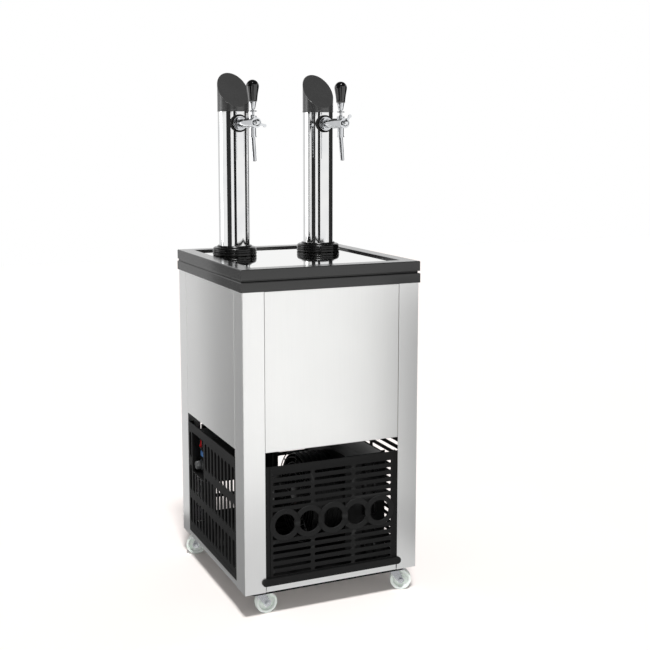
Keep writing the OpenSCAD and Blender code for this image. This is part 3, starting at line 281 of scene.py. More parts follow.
def makeFinish(name, look):
    # colour, roughness and relief from one grain of a real size, and paler worn edges
    finish = bpy.data.materials.new(name)
    finish.use_nodes = True
    tree = finish.node_tree
    shader = tree.nodes["Principled BSDF"]
    for socket, value in look.get("sockets", {}).items():
        shader.inputs[socket].default_value = value
    shader.inputs["Metallic"].default_value = look.get("metallic", 0)
    place = putNode(tree, "TexCoord").outputs["Object"]
    grainScale = [1000 / look["grain"] * share for share in look.get("stretch", (1, 1, 1))]
    grainMap = putNode(tree, "Mapping", {"Vector": place, "Scale": grainScale}).outputs[0]
    if "cells" in look:
        grain = putNode(tree, "TexVoronoi", {"Vector": grainMap, "Scale": 1}, feature=look["cells"])
    else:
        grain = putNode(tree, "TexNoise", {"Vector": grainMap, "Scale": 1, "Detail": look.get("detail", 3)})
    height = grain.outputs[0]
    cloudMap = putNode(tree, "Mapping", {"Vector": place, "Scale": [1000 / look["cloud"]] * 3}).outputs[0]
    cloud = putNode(tree, "TexNoise", {"Vector": cloudMap, "Scale": 1, "Detail": 4}).outputs[0]
    share = look.get("cloudShare", 0.5)
    both = putNode(tree, "Mix", {"Factor": share, "A": height, "B": cloud}, data_type="FLOAT").outputs[0]
    spread = putNode(tree, "MapRange", {"Value": both, **noiseSpan}).outputs[0]
    tones = {"Factor": spread, "A": linear(look["colour"]), "B": linear(look["second"])}
    colour = putNode(tree, "Mix", tones, data_type="RGBA").outputs["Result"]
    if "edge" in look:
        bare = putNode(tree, "NewGeometry").outputs["Pointiness"]
        worn = putNode(tree, "MapRange", {"Value": bare, **edgeSpan, "To Max": look["wear"]}).outputs[0]
        tones = {"Factor": worn, "A": colour, "B": linear(look["edge"])}
        colour = putNode(tree, "Mix", tones, data_type="RGBA").outputs["Result"]
    tree.links.new(colour, shader.inputs["Base Color"])
    low, high = look["rough"]
    gloss = putNode(tree, "MapRange", {"Value": both, **noiseSpan, "To Min": low, "To Max": high})
    tree.links.new(gloss.outputs[0], shader.inputs["Roughness"])
    pressed = {"Height": height, "Strength": look["press"], "Distance": look["relief"] / 1000}
    tree.links.new(putNode(tree, "Bump", pressed).outputs[0], shader.inputs["Normal"])
    return finish


# stainless sheet, satin ground along its height: soft reflections with hair-fine lines
# lines of 0.3 mm are drawn 1 mm wide, so that they show
brushedStainless = makeFinish("brushedStainless", {
    "colour": "#f3f3f2", "second": "#eeeeed", "metallic": 1, "rough": (0.27, 0.33), "grain": 1.0,
    "stretch": (1, 1, 0.01), "relief": 0.002, "press": 0.2, "cloud": 160, "cloudShare": 0.5,
    "edge": "#fafafa", "wear": 0.5})
# stainless plate, buffed to a mirror: clear reflections with a few wiping marks
mirrorStainless = makeFinish("mirrorStainless", {
    "colour": "#ececea", "second": "#e4e4e3", "metallic": 1, "rough": (0.02, 0.06), "grain": 2.5,
    "stretch": (1, 0.08, 1), "relief": 0.001, "press": 0.06, "cloud": 120, "cloudShare": 0.6})
# brass under bright chrome, polished: near-white mirror with a slight wave
chromePlate = makeFinish("chromePlate", {
    "colour": "#f0f0ef", "second": "#e6e7e8", "metallic": 1, "rough": (0.03, 0.07), "grain": 30,
    "detail": 0, "relief": 0.004, "press": 0.04, "cloud": 60, "cloudShare": 0.5})
# brass castings under chrome, buffed by hand: wavier than the tubes, and a touch darker, as painted shade
# that stands in for darker reflections
shadedCastChrome = makeFinish("shadedCastChrome", {
    "colour": "#e4e6e8", "second": "#d6d8db", "metallic": 1, "rough": (0.05, 0.1), "grain": 6,
    "relief": 0.01, "press": 0.1, "cloud": 30, "cloudShare": 0.5})
# ABS, moulded in a smooth tool: even charcoal that mirrors softly at a low angle
satinAbs = makeFinish("satinAbs", {
    "colour": "#272727", "second": "#2c2c2c", "rough": (0.13, 0.19), "grain": 1.2, "relief": 0.004,
    "press": 0.15, "cloud": 70, "edge": "#5a5a5a", "wear": 0.35,
    "sockets": {"IOR": 1.5, "Specular IOR Level": 0.45}})
# polypropylene, moulded: darker and duller than the trim, with a slight haze
mouldedPolypropylene = makeFinish("mouldedPolypropylene", {
    "colour": "#0b0b0b", "second": "#101010", "rough": (0.52, 0.62), "grain": 0.9, "relief": 0.03,
    "press": 0.4, "cloud": 55, "edge": "#363636", "wear": 0.35,
    "sockets": {"IOR": 1.49, "Specular IOR Level": 0.2}})
# nylon 6, moulded: dark caps with a soft sheen on their round sides
mattNylonBlack = makeFinish("mattNylonBlack", {
    "colour": "#343434", "second": "#393939", "rough": (0.24, 0.3), "grain": 0.6, "relief": 0.002,
    "press": 0.06, "cloud": 40, "edge": "#4a4a4a", "wear": 0.3,
    "sockets": {"IOR": 1.53, "Specular IOR Level": 0.7}})
# ABS, moulded in a polished tool: black that shows soft highlights
glossAbs = makeFinish("glossAbs", {
    "colour": "#080808", "second": "#0d0d0d", "rough": (0.16, 0.24), "grain": 2, "relief": 0.01,
    "press": 0.15, "cloud": 30, "edge": "#262626", "wear": 0.3,
    "sockets": {"IOR": 1.5, "Specular IOR Level": 0.4}})
# phenolic, compression moulded and tumbled: deep black gloss
tumbledPhenolic = makeFinish("tumbledPhenolic", {
    "colour": "#070707", "second": "#0b0b0b", "rough": (0.06, 0.1), "grain": 3, "relief": 0.004,
    "press": 0.1, "cloud": 20, "sockets": {"IOR": 1.54, "Coat Weight": 0.6, "Coat Roughness": 0.04}})
# steel, pressed and bright zinc plated: cool grey, cloudy, with bare edges
zincPlate = makeFinish("zincPlate", {
    "colour": "#c6c8cb", "second": "#b0b3b7", "metallic": 1, "rough": (0.2, 0.34), "grain": 2.2,
    "relief": 0.006, "press": 0.2, "cloud": 14, "cloudShare": 0.6, "edge": "#dcdee0", "wear": 0.5})
# steel sheet, hot-dip galvanised: spangles of frozen zinc, about 9 mm
galvanisedSheet = makeFinish("galvanisedSheet", {
    "colour": "#c2c6c8", "second": "#9aa0a4", "metallic": 1, "rough": (0.35, 0.55), "grain": 9,
    "cells": "F1", "relief": 0.02, "press": 0.2, "cloud": 30})
# nylon 6 left natural, moulded: milky, slightly green, light seeps into it
naturalNylon = makeFinish("naturalNylon", {
    "colour": "#f3f8f4", "second": "#e9f0ea", "rough": (0.25, 0.36), "grain": 1.5, "relief": 0.02,
    "press": 0.25, "cloud": 12,
    "sockets": {"IOR": 1.53, "Subsurface Weight": 0.25, "Subsurface Radius": (0.004, 0.005, 0.004),
                "Subsurface Scale": 1.0}})
# nitrile rubber, moulded: dull black that takes dust
nitrileRubber = makeFinish("nitrileRubber", {
    "colour": "#0c0c0c", "second": "#131312", "rough": (0.62, 0.78), "grain": 0.8, "relief": 0.04,
    "press": 0.4, "cloud": 15, "sockets": {"IOR": 1.52, "Specular IOR Level": 0.2}})
# copper tube, drawn and handled: warm metal with browned patches
drawnCopper = makeFinish("drawnCopper", {
    "colour": "#c98460", "second": "#9a5c3f", "metallic": 1, "rough": (0.24, 0.42), "grain": 2.5,
    "relief": 0.01, "press": 0.2, "cloud": 35, "cloudShare": 0.7})
# stainless, drawn: satin with a fine even grain
drawnStainless = makeFinish("drawnStainless", {
    "colour": "#d2d3d3", "second": "#c4c5c6", "metallic": 1, "rough": (0.18, 0.3), "grain": 1.5,
    "relief": 0.006, "press": 0.2, "cloud": 40})
# steel shell under stoved enamel: black with orange peel of about 2 mm
stovedEnamel = makeFinish("stovedEnamel", {
    "colour": "#0f0f0f", "second": "#151515", "rough": (0.26, 0.4), "grain": 2.2, "relief": 0.05,
    "press": 0.2, "cloud": 45, "edge": "#3c3c3c", "wear": 0.4,
    "sockets": {"IOR": 1.5, "Specular IOR Level": 0.18}})
# aluminium, rolled thin for the fan: pale, lightly oxidised
rolledAluminium = makeFinish("rolledAluminium", {
    "colour": "#c9cbcc", "second": "#b5b8ba", "metallic": 1, "rough": (0.32, 0.46), "grain": 1.4,
    "stretch": (1, 1, 0.05), "relief": 0.01, "press": 0.2, "cloud": 35})
# polyurethane, poured rigid foam: yellowed closed cells of about 1.5 mm
pouredFoam = makeFinish("pouredFoam", {
    "colour": "#e2d2a4", "second": "#cdb983", "rough": (0.8, 0.92), "grain": 1.6, "cells": "F1",
    "relief": 0.25, "press": 0.6, "cloud": 60, "sockets": {"IOR": 1.45}})
# polystyrene, vacuum formed: clean white with a soft gloss
formedPolystyrene = makeFinish("formedPolystyrene", {
    "colour": "#eceae4", "second": "#e2e0da", "rough": (0.35, 0.45), "grain": 1.8, "relief": 0.02,
    "press": 0.2, "cloud": 60, "sockets": {"IOR": 1.55}})
# polycarbonate, moulded: clear skin over a deep red body
mouldedPolycarbonate = makeFinish("mouldedPolycarbonate", {
    "colour": "#c4161a", "second": "#a90f14", "rough": (0.16, 0.26), "grain": 1.2, "relief": 0.01,
    "press": 0.15, "cloud": 10, "sockets": {"IOR": 1.58, "Coat Weight": 0.3, "Coat Roughness": 0.1}})
# aluminium plate, blue enamelled: plain, slightly mottled
blueEnamel = makeFinish("blueEnamel", {
    "colour": "#3d72b4", "second": "#346aa9", "rough": (0.3, 0.4), "grain": 1, "relief": 0.01,
    "press": 0.15, "cloud": 8, "edge": "#8fb0d6", "wear": 0.4})
# ABS in grey, moulded: fine matt grit
greyAbs = makeFinish("greyAbs", {
    "colour": "#343536", "second": "#2d2e2f", "rough": (0.4, 0.5), "grain": 0.7, "relief": 0.03,
    "press": 0.35, "cloud": 10, "edge": "#a3a5a6", "wear": 0.4, "sockets": {"IOR": 1.53}})
print("finishes mixed:", len(bpy.data.materials))


# cabinet sheet metal: the outer folds are rounder than the cut edges
sheet = {"foldRound": 1.4, "cutRound": 0.25, "halfWidth": 215, "halfDepth": 237.5}


def liesAt(value, half):
    # on a face at that half width or depth, give or take a hair
    return abs(abs(value) - half) < 0.01


def onFold(p):
    return liesAt(p.x, sheet["halfWidth"]) and liesAt(p.y, sheet["halfDepth"])


def foldedSheet(node, test):
    obj = roundPicked(copyOfNode(node), test, sheet["foldRound"])
    return settle(roundEdges(obj, sheet["cutRound"], steps=2), brushedStainless, node)


foldedSheet("corner_posts", onFold)
foldedSheet("front_panel", lambda p: liesAt(p.y, sheet["halfDepth"]))
foldedSheet("rear_panel", lambda p: liesAt(p.y, sheet["halfDepth"]))
foldedSheet("side_panels", lambda p: liesAt(p.x, sheet["halfWidth"]))
pan = {"seam": 1.9, "seamAt": 165.2, "seamY": (-240, -234), "seamZ": (58, 78), "round": 0.4}
basePan = copyOfNode("base_pan")
for way in (-1, 1):
    seamX = onSide(way, (pan["seamAt"] - pan["seam"], pan["seamAt"]))
    cutWith(basePan, block("seam", seamX, pan["seamY"], pan["seamZ"]))
settle(roundEdges(basePan, pan["round"], steps=2), brushedStainless, "base_pan")
# black rubber mat on the floor of the machine room, laid as painted shade that darkens the inside
mat = {"halfX": 196, "halfY": 222, "floor": 64, "thick": 1.2, "corner": 14, "round": 0.4}
panMat = block("panMat", (-mat["halfX"], mat["halfX"]), (-mat["halfY"], mat["halfY"]),
               (mat["floor"], mat["floor"] + mat["thick"]))


def onMatCorner(p):
    return liesAt(p.x, mat["halfX"]) and liesAt(p.y, mat["halfY"])


roundPicked(panMat, onMatCorner, mat["corner"], steps=8)
addOn(roundEdges(panMat, mat["round"], steps=2), nitrileRubber, "cabinet")
dressed("connection_plate", brushedStainless, {"round": 0.4, "steps": 2})
dressed("deck_plate", galvanisedSheet, {"round": 0.4, "steps": 2})
dressed("tank_liner", drawnStainless, {"round": 0.4, "steps": 2})
dressed("tank_foam", pouredFoam, {"round": 2.5})
dressed("tank_lid", formedPolystyrene, {"round": 1.2})
print("cabinet sheets folded")

# grilles: moulded plates with softened slots
grilleWork = {"face": -237.5, "slotRound": 0.6}
strip = {"x": (153.5, 170), "front": -239, "deep": 1.6, "z": (94, 360)}
ring = {"inner": 24.5, "outer": 37, "pitch": 59, "height": 214, "root": -1, "rise": 1.0, "sink": 0.04}
footBead = {"x": (-215.8, -214.6), "y": (-172, 172), "z": (88, 90.4), "round": 0.5}


def setBackStrips(grille):
    stripY = (strip["front"], grilleWork["face"] + strip["deep"])
    for way in (-1, 1):
        cutWith(grille, block("strip", onSide(way, strip["x"]), stripY, strip["z"]))


def addRings(grille):
    # a raised bead round each of the five openings
    inner, outer = ring["inner"], ring["outer"]
    beads = []
    for i in range(-2, 3):
        # every second ring lies a hair lower, so that no two faces fall together
        sink = ring["sink"] * (i % 2)
        root, rise = ring["root"] - sink, ring["rise"] - sink
        outline = [(inner, root), (inner, rise - 0.6), (inner + 0.6, rise), (outer - 0.9, rise),
                   (outer, rise - 0.7), (outer, root)]
        spot = (i * ring["pitch"], grilleWork["face"], ring["height"])
        beads.append(turned("ringBead", outline, sides=64, along="-y", at=spot, ring=True))
    for bead in beads[1:]:
        cutWith(beads[0], bead, "UNION")
    joined(grille, beads[0])


def addFootBead(grille):
    bead = block("footBead", footBead["x"], footBead["y"], footBead["z"])
    joined(grille, roundEdges(bead, footBead["round"], steps=2))


for node in ("front_grille", "left_grille", "right_grille", "rear_grille"):
    grille = copyOfNode(node)
    if node == "front_grille":
        setBackStrips(grille)
    roundEdges(grille, grilleWork["slotRound"], steps=2)
    if node == "front_grille":
        addRings(grille)
    if node == "left_grille":
        addFootBead(grille)
    settle(grille, mouldedPolypropylene, node)
# rubber seals behind the posts, along both edges of the front grille; their black is painted shade for the
# set-back strips in front of them
seal = {"x": (163.2, 173), "y": (-235.9, -233.6), "z": (77, 352), "round": 0.8}
seals = []
for way in (-1, 1):
    edgeShadeSeal = block("grilleSeals", onSide(way, seal["x"]), seal["y"], seal["z"])
    seals.append(roundEdges(edgeShadeSeal, seal["round"]))
addOn(joined(*seals), nitrileRubber, "cabinet")
print("grilles moulded")

# top frame and polished plate
dressed("lower_trim_frame", satinAbs, {"round": 0.7})
dressed("upper_trim_frame", satinAbs, {"round": 0.8})
dressed("top_plate", mirrorStainless, {"round": 0.4})

# towers
tower = {"x": 111.5, "y": 104, "foot": 789.5, "top": 1136.5, "radius": 38, "wall": 2, "fit": 0.15,
         "baseRadius": 54, "baseHeight": 20,
         "capRadius": 38.5, "capFront": 9.5, "capBack": 94, "capLift": 0.4, "capRound": 0.5}


def towerPair(node, make, finish):
    first = make(plainName(node), (-tower["x"], tower["y"], 0))
    return settle(joined(first, copied(first, (2 * tower["x"], 0, 0))), finish, node)


def makeTube(name, at):
    r, low, high = tower["radius"], tower["foot"], tower["top"]
    inside = r - tower["wall"]
    outline = [(inside, low), (r, low), (r, high - 0.5), (r - 0.5, high), (inside, high)]
    return turned(name, outline, sides=160, at=at, ring=True)


def makeBase(name, at):
    r, h, bore = tower["baseRadius"], tower["baseHeight"], tower["radius"] + tower["fit"]
    grooves = [(r - 2.4, 0), (r - 0.6, 1.2), (r, 3), (r, 5.6), (r - 0.5, 6.4), (r - 2.2, 7),
               (r - 2.2, 7.6), (r - 0.5, 8.2), (r, 9), (r, 11.4), (r - 0.5, 12.2), (r - 2, 12.8),
               (r - 2, 13.3), (r - 0.8, 13.8)]
    shoulder = arc((r - 6.8, h - 6), (6, 6), start=4, end=90, steps=8)
    collar = [(bore + 6, h), (bore + 5, h + 0.8), (bore + 3.6, h + 3.2), (bore + 2.8, h + 4), (bore, h + 4)]
    outline = [(bore, 0), *grooves, *shoulder, *collar]
    return turned(name, [(a, tower["foot"] + b) for a, b in outline], sides=128, at=at, ring=True)


def makeCap(name, at):
    # a plug with a rim and a tall drum, sliced at a slant
    r, low, plug = tower["capRadius"], tower["top"], tower["radius"] - tower["wall"] - tower["fit"]
    outline = [(plug, -10), (plug, 0), (r - 0.3, 0), (r, 0.3), (r, 2.6), (r - 0.4, 3.1), (r - 0.4, 100)]
    cap = turned(name, [(a, low + b) for a, b in outline], sides=128, at=at)
    rise = tower["capBack"] - tower["capFront"]
    intoEdit(cap)
    bpy.ops.mesh.bisect(plane_co=metres((at[0], at[1] - r, low + tower["capFront"] + tower["capLift"])),
                        plane_no=Vector((0, -rise, 2 * r)).normalized(), use_fill=True, clear_outer=True)
    bpy.ops.object.mode_set(mode="OBJECT")
    return roundEdges(cap, tower["capRound"], steps=4, angle=40)


towerPair("tower_tubes", makeTube, chromePlate)
towerPair("tower_bases", makeBase, glossAbs)
towerPair("tower_caps", makeCap, mattNylonBlack)
print("towers raised")

# taps
tap = {"axis": 1108, "pivotY": -32, "pivotRise": 14}
dressed("tap_gaskets", nitrileRubber, {"round": 1.2})
dressed("tap_shanks", shadedCastChrome, {"round": 0.7})
dressed("tap_bodies", shadedCastChrome, {"round": 0.6})
dressed("tap_spouts", shadedCastChrome, {"round": 0.35, "steps": 2})
# heights from the lever's pivot
leverOutline = [(0.4, -17), (1.8, -16.4), (2.7, -15.3), (3, -14), (2.7, -12.7), (2, -11.8), (2, -5.1),
                (3.9, -3.9), (5.1, -2), (5.5, 0), (5.1, 2), (3.9, 3.9), (3.5, 4.3), (3.5, 10.6),
                (4.1, 11), (8.4, 11), (9, 11.6), (9, 13.4), (8.4, 14), (4.4, 14), (3.6, 14.8),
                (3.6, 16.6), (5.2, 17), (5.7, 17.5), (8.7, 33.2), (8.5, 34), (3.4, 34), (3.4, 44)]
knobOutline = [(3.65, 45), (3.65, 34.2), (10.1, 34.2), (10.5, 34.8), (11, 41), (12.2, 51), (13.7, 60),
               (14.7, 65.5), *arc((0, 69), (15, 15), start=2, end=86, steps=12)]
for side, way in (("left", -1), ("right", 1)):
    pivot = (way * tower["x"], tap["pivotY"], tap["axis"] + tap["pivotRise"])
    settle(turned(side + "TapLever", leverOutline, sides=64, at=pivot), shadedCastChrome, side + "_tap_lever")
    settle(turned(side + "TapKnob", knobOutline, sides=96, at=pivot), tumbledPhenolic, side + "_tap_knob")
    dressed(side + "_flow_lever", shadedCastChrome, {"round": 0.6})
    dressed(side + "_valve_plunger", zincPlate, {"round": 0.3, "steps": 2})
print("taps fitted")

# lines: the routes of the solids, as round tubes
lines = {"bend": 10, "duct": 190.5, "over": 768.1, "drop": 141.3, "turns": 6, "pitch": 34, "turnSteps": 48,
         "meet": 2}
# the beer coils have a radius and a foot on each side
beer = {"radius": 4, "inletY": 206, "inletZ": 358, "lead": 25, "tapY": 82.2,
        "coils": {-1: (90, 450.5), 1: (64, 430.5)}}
cold = {"radius": 5, "x": 25, "foot": 354, "coil": 119, "low": 470.5}


def helix(radius, low, start, way):
    steps = lines["turnSteps"]
    spots = []
    for i in range(lines["turns"] * steps + 1):
        a = math.radians(start + way * 360 * i / steps)
        spots.append(Vector((radius * math.cos(a), radius * math.sin(a), low + lines["pitch"] * i / steps)))
    return spots


def beerRoute(side):
    duct, over, drop, meet = lines["duct"], lines["over"], lines["drop"], lines["meet"]
    radius, low = beer["coils"][side]
    high = low + lines["turns"] * lines["pitch"]
    x, towerX = side * radius, side * tower["x"]
    inward = [(x, beer["inletY"], beer["inletZ"]), (x, duct, beer["inletZ"]), (x, duct, over),
              (x, drop, over), (x, drop, low), (x, meet, low)]
    outward = [(x, -meet, high), (x, -beer["lead"], high), (x, -beer["lead"], over),
               (towerX, tower["y"], over), (towerX, tower["y"], tap["axis"]),
               (towerX, beer["tapY"], tap["axis"])]
    coil = helix(radius, low, start=0 if side > 0 else 180, way=-side)
    return bentRoute(inward, lines["bend"]) + coil + bentRoute(outward, lines["bend"])


def coldRoute():
    duct, over, drop, meet = lines["duct"], lines["over"], lines["drop"], lines["meet"]
    x, foot, radius, low = cold["x"], cold["foot"], cold["coil"], cold["low"]
    high = low + lines["turns"] * lines["pitch"]
    inward = [(x, duct, foot), (x, duct, over), (x, drop, over), (x, drop, low), (x, radius, low),
              (meet, radius, low)]
    outward = [(-meet, radius, high), (-x, radius, high), (-x, drop, high), (-x, drop, over),
               (-x, duct, over), (-x, duct, foot)]
    coil = helix(radius, low, start=90, way=1)
    return bentRoute(inward, lines["bend"]) + coil + bentRoute(outward, lines["bend"])


beerLines = [pipe("beerLines", beerRoute(side), beer["radius"]) for side in beer["coils"]]
settle(joined(*beerLines), drawnStainless, "beer_lines")
settle(pipe("evaporatorCoil", coldRoute(), cold["radius"]), drawnCopper, "evaporator_coil")
gas = {"radius": 4, "drier": (-75, 186.5, 0)}
gasRoutes = [[(114.2, 118, 173), (128, 118, 173), (128, 32.2, 173)],
             [(104, 32.2, 104), (104, 46, 104), (-75, 46, 104), (-75, 186.5, 104), (-75, 186.5, 123.8)],
             [(-75, 186.5, 224.2), (-75, 186.5, 304), (-25, 190.5, 304), (-25, 190.5, 353.8)],
             [(25, 190.5, 353.8), (25, 190.5, 155), (25, 178.8, 155)]]
drierOutline = [(4, 124), (4.6, 128), (9.2, 134), (10, 138), (10, 210), (9.2, 214), (4.6, 220), (4, 224)]
drier = turned("refrigerantLines", drierOutline, sides=48, at=gas["drier"])
gasLines = [pipe("gasLine", bentRoute(route, lines["bend"]), gas["radius"]) for route in gasRoutes]
settle(joined(drier, *gasLines), drawnCopper, "refrigerant_lines")
# foam rubber sleeves on the suction line and the liquid line
sleeve = {"up": (25, 190.5, 0), "flat": (0, 46, 104)}
upOutline = [(4.2, 170), (7, 170), (7.6, 170.8), (7.6, 347.2), (7, 348), (4.2, 348)]
flatOutline = [(4.2, -62), (6, -62), (6.5, -61.4), (6.5, 91.4), (6, 92), (4.2, 92)]
upSleeve = turned("lineSleeves", upOutline, sides=40, at=sleeve["up"], ring=True)
flatSleeve = turned("flatSleeve", flatOutline, sides=40, along="+x", at=sleeve["flat"], ring=True)
addOn(joined(upSleeve, flatSleeve), nitrileRubber, "cabinet")
print("lines run")

# condenser: two plates, two sheets and a flange, fins between the plates, return bends at the front
cooler = {"x": (92, 147), "y": (-190, 32), "z": (64, 338), "round": 0.4,
          "plate": (12, 13.5), "rearPlate": 1.5, "sheet": 1.2, "flange": (-1, 15), "flangeFoot": 20,
          "fins": 54, "finStart": 16, "finThick": 0.5, "finRoom": 20, "finSide": 1, "finEnd": 2}
returns = {"inset": 15, "rows": 5, "foot": 24, "pitch": 50, "half": 12.5, "reach": 8.6,
           "root": 13, "tail": 14, "radius": 4}


def makeCondenser():
    right, (front, rear), (low, high) = cooler["x"][1], cooler["y"], cooler["z"]
    plateY = [front + deep for deep in cooler["plate"]]
    coil = block("condenserCoil", cooler["x"], plateY, cooler["z"])
    endPlate = block("endPlate", cooler["x"], (rear - cooler["rearPlate"], rear), cooler["z"])
    coverSheet = block("coverSheet", cooler["x"], cooler["y"], (high - cooler["sheet"], high))
    footSheet = block("footSheet", cooler["x"], cooler["y"], (low, low + cooler["sheet"]))
    flangeX = [right + reach for reach in cooler["flange"]]
    flange = block("plateFlange", flangeX, plateY, (low + cooler["flangeFoot"], high))
    joined(coil, endPlate, coverSheet, footSheet, flange)
    return roundEdges(coil, cooler["round"], steps=2)


def makeFins():
    (left, right), (front, rear), (low, high) = cooler["x"], cooler["y"], cooler["z"]
    first = front + cooler["finStart"]
    finX = (left + cooler["finSide"], right - cooler["finSide"])
    finZ = (low + cooler["finEnd"], high - cooler["finEnd"])
    fin = block("fin", finX, (first, first + cooler["finThick"]), finZ)
    step = (rear - front - cooler["finRoom"]) / cooler["fins"] / 1000
    return useModifier(fin, "ARRAY", count=cooler["fins"], use_relative_offset=False,
                       use_constant_offset=True, constant_offset_displace=(0, step, 0))


def makeReturns():
    bends = []
    front, half = cooler["y"][0], returns["half"]
    for x in (cooler["x"][0] + returns["inset"], cooler["x"][1] - returns["inset"]):
        for k in range(returns["rows"]):
            foot = cooler["z"][0] + returns["foot"] + returns["pitch"] * k
            loop = [(x, front + returns["tail"], foot)]
            for a in [math.radians(turn) for turn in range(0, 181, 15)]:
                y = front + returns["root"] - returns["reach"] * math.sin(a)
                loop.append((x, y, foot + half - half * math.cos(a)))
            loop.append((x, front + returns["tail"], foot + 2 * half))
            bends.append(pipe("returnBend", loop, returns["radius"]))
    return bends


settle(joined(makeCondenser(), makeFins(), *makeReturns()), stovedEnamel, "condenser")
dressed("fan_shroud", stovedEnamel, {"round": 0.5, "steps": 2})

# the fan's blades, and the axis that its guard and its motor share with them
fan = {"x": 64, "y": -79, "z": 218, "root": 16, "tip": 90, "chord": 50, "pitch": 30, "twist": 9,
       "thick": 1.6, "blades": 5, "corner": 9}
# fan guard: a hub plate with rings and spokes of wire, and a collar of rings behind them
guardWork = {"x": -26.5, "hub": 32, "radius": 107.6, "rings": 6, "wire": 1.4,
             "collarRings": 5, "collarRadius": 104.6, "collarWire": 1.1, "collarPitch": 13,
             "spokes": 8, "spokeRoot": 28, "spokeWire": 1.2, "spokeSink": -0.2}
hubPlate = [(1, -1.4), (30, -1.4), (31.6, -0.6), (31.6, 0.9), (30.8, 1.4), (1, 1.4)]
guard = turned("fanGuard", hubPlate, sides=64)
ringStep = (guardWork["radius"] - guardWork["hub"]) / guardWork["rings"]
for i in range(1, guardWork["rings"] + 1):
    pickOnly()
    bpy.ops.mesh.primitive_torus_add(major_segments=96, minor_segments=10,
                                     minor_radius=guardWork["wire"] / 1000,
                                     major_radius=(guardWork["hub"] + ringStep * i) / 1000)
    joined(guard, bpy.context.object)
for i in range(1, guardWork["collarRings"] + 1):
    pickOnly()
    bpy.ops.mesh.primitive_torus_add(major_segments=96, minor_segments=8,
                                     minor_radius=guardWork["collarWire"] / 1000,
                                     major_radius=guardWork["collarRadius"] / 1000,
                                     location=(0, 0, guardWork["collarPitch"] * i / 1000))
    joined(guard, bpy.context.object)
for i in range(guardWork["spokes"]):
    a = math.radians(360 / guardWork["spokes"] * i)
    reaches = (guardWork["spokeRoot"], guardWork["radius"])
    spoke = [Vector((r * math.cos(a), r * math.sin(a), guardWork["spokeSink"])) for r in reaches]
    joined(guard, pipe("spoke", spoke, guardWork["spokeWire"]))
fixPlace(guard, (guardWork["x"], fan["y"], fan["z"]), (0, 90, 0))
settle(smoothOver(guard, angle=40), stovedEnamel, "fan_guard")
# ribbed motor between the guard and the blades
motor = {"x": -25, "ribs": 11, "ribFoot": 9, "ribPitch": 5}
ribs = []
for k in range(motor["ribs"]):
    foot = motor["ribFoot"] + motor["ribPitch"] * k
    ribs += [(31, foot), (31.9, foot + 0.6), (31.9, foot + 2.6), (31, foot + 3.2)]
motorOutline = [(31, 0), (32, 1), (32, 7), (31, 8), *ribs, (31, 69), (29, 72), (10, 72), (9.4, 73),
                (4.1, 73), (4.1, 8)]
motorPlace = (motor["x"], fan["y"], fan["z"])
settle(turned("fanMotor", motorOutline, sides=72, along="+x", at=motorPlace), stovedEnamel, "fan_motor")

# five pitched blades with a slight twist, on one hub
hubOutline = [(4, -46), (4, -13.2), (18.8, -13), (20, -12), (20, 10), (17.5, 12.4), (8, 13), (1, 13)]
hub = turned("fanBlades", hubOutline, sides=64)
bladeLong = fan["tip"] - fan["root"]


def onBladeCorner(p):
    return abs(p.x) > bladeLong / 2 - 0.1 and abs(p.y) > fan["chord"] / 2 - 0.1


for i in range(fan["blades"]):
    pickOnly()
    bpy.ops.mesh.primitive_grid_add(x_subdivisions=14, y_subdivisions=8, size=1)
    blade = bpy.context.object
    blade.scale = metres((bladeLong, fan["chord"], 1))
    bpy.ops.object.transform_apply(scale=True)
    useModifier(blade, "SIMPLE_DEFORM", deform_method="TWIST", angle=math.radians(-fan["twist"]),
                deform_axis="X")
    useModifier(blade, "SOLIDIFY", thickness=fan["thick"] / 1000, offset=0)
    roundPicked(blade, onBladeCorner, fan["corner"], steps=5)
    fixPlace(blade, ((fan["tip"] + fan["root"]) / 2, 0, 0))
    fixPlace(blade, turn=(fan["pitch"], 0, 0))
    fixPlace(blade, turn=(0, 0, 360 / fan["blades"] * i))
    joined(hub, smoothOver(blade))
settle(fixPlace(hub, (fan["x"], fan["y"], fan["z"]), (0, 90, 0)), rolledAluminium, "fan_blades")

# compressor can with its weld bead, terminal cover and feet
can = {"x": 50, "y": 118, "low": 82, "radius": 62.4, "bead": 64, "footRound": 1, "coverRound": 3,
       "foot": ((-26, 126), (54, 182), (82, 85)), "cover": ((-13, 0), (98, 138), (130, 176))}


def makeCan():
    r, weld = can["radius"], can["bead"]
    outline = [(20, 3), (46, 3.2), (54, 6), (59.5, 12), (61.8, 20), (r, 28), (r, 62), (weld - 0.6, 63),
               (weld, 64.2), (weld, 65.8), (weld - 0.6, 67), (r, 68), (r, 105),
               *arc((0, 105), (r, 45), start=6, end=86, steps=16)]
    raised = [(a, can["low"] + b) for a, b in outline]
    return turned("compressorCan", raised, sides=112, at=(can["x"], can["y"], 0))


shell = makeCan()
canFoot = roundEdges(block("canFoot", *can["foot"]), can["footRound"], steps=2)
cover = roundEdges(block("terminalCover", *can["cover"]), can["coverRound"])
settle(joined(shell, canFoot, cover), stovedEnamel, "compressor")
dressed("compressor_feet", nitrileRubber, {"round": 0.8})
dressed("agitator_motor", stovedEnamel, {"round": 1})
dressed("agitator_impeller", zincPlate, {"round": 0.5, "steps": 2})
print("cooling unit set in")

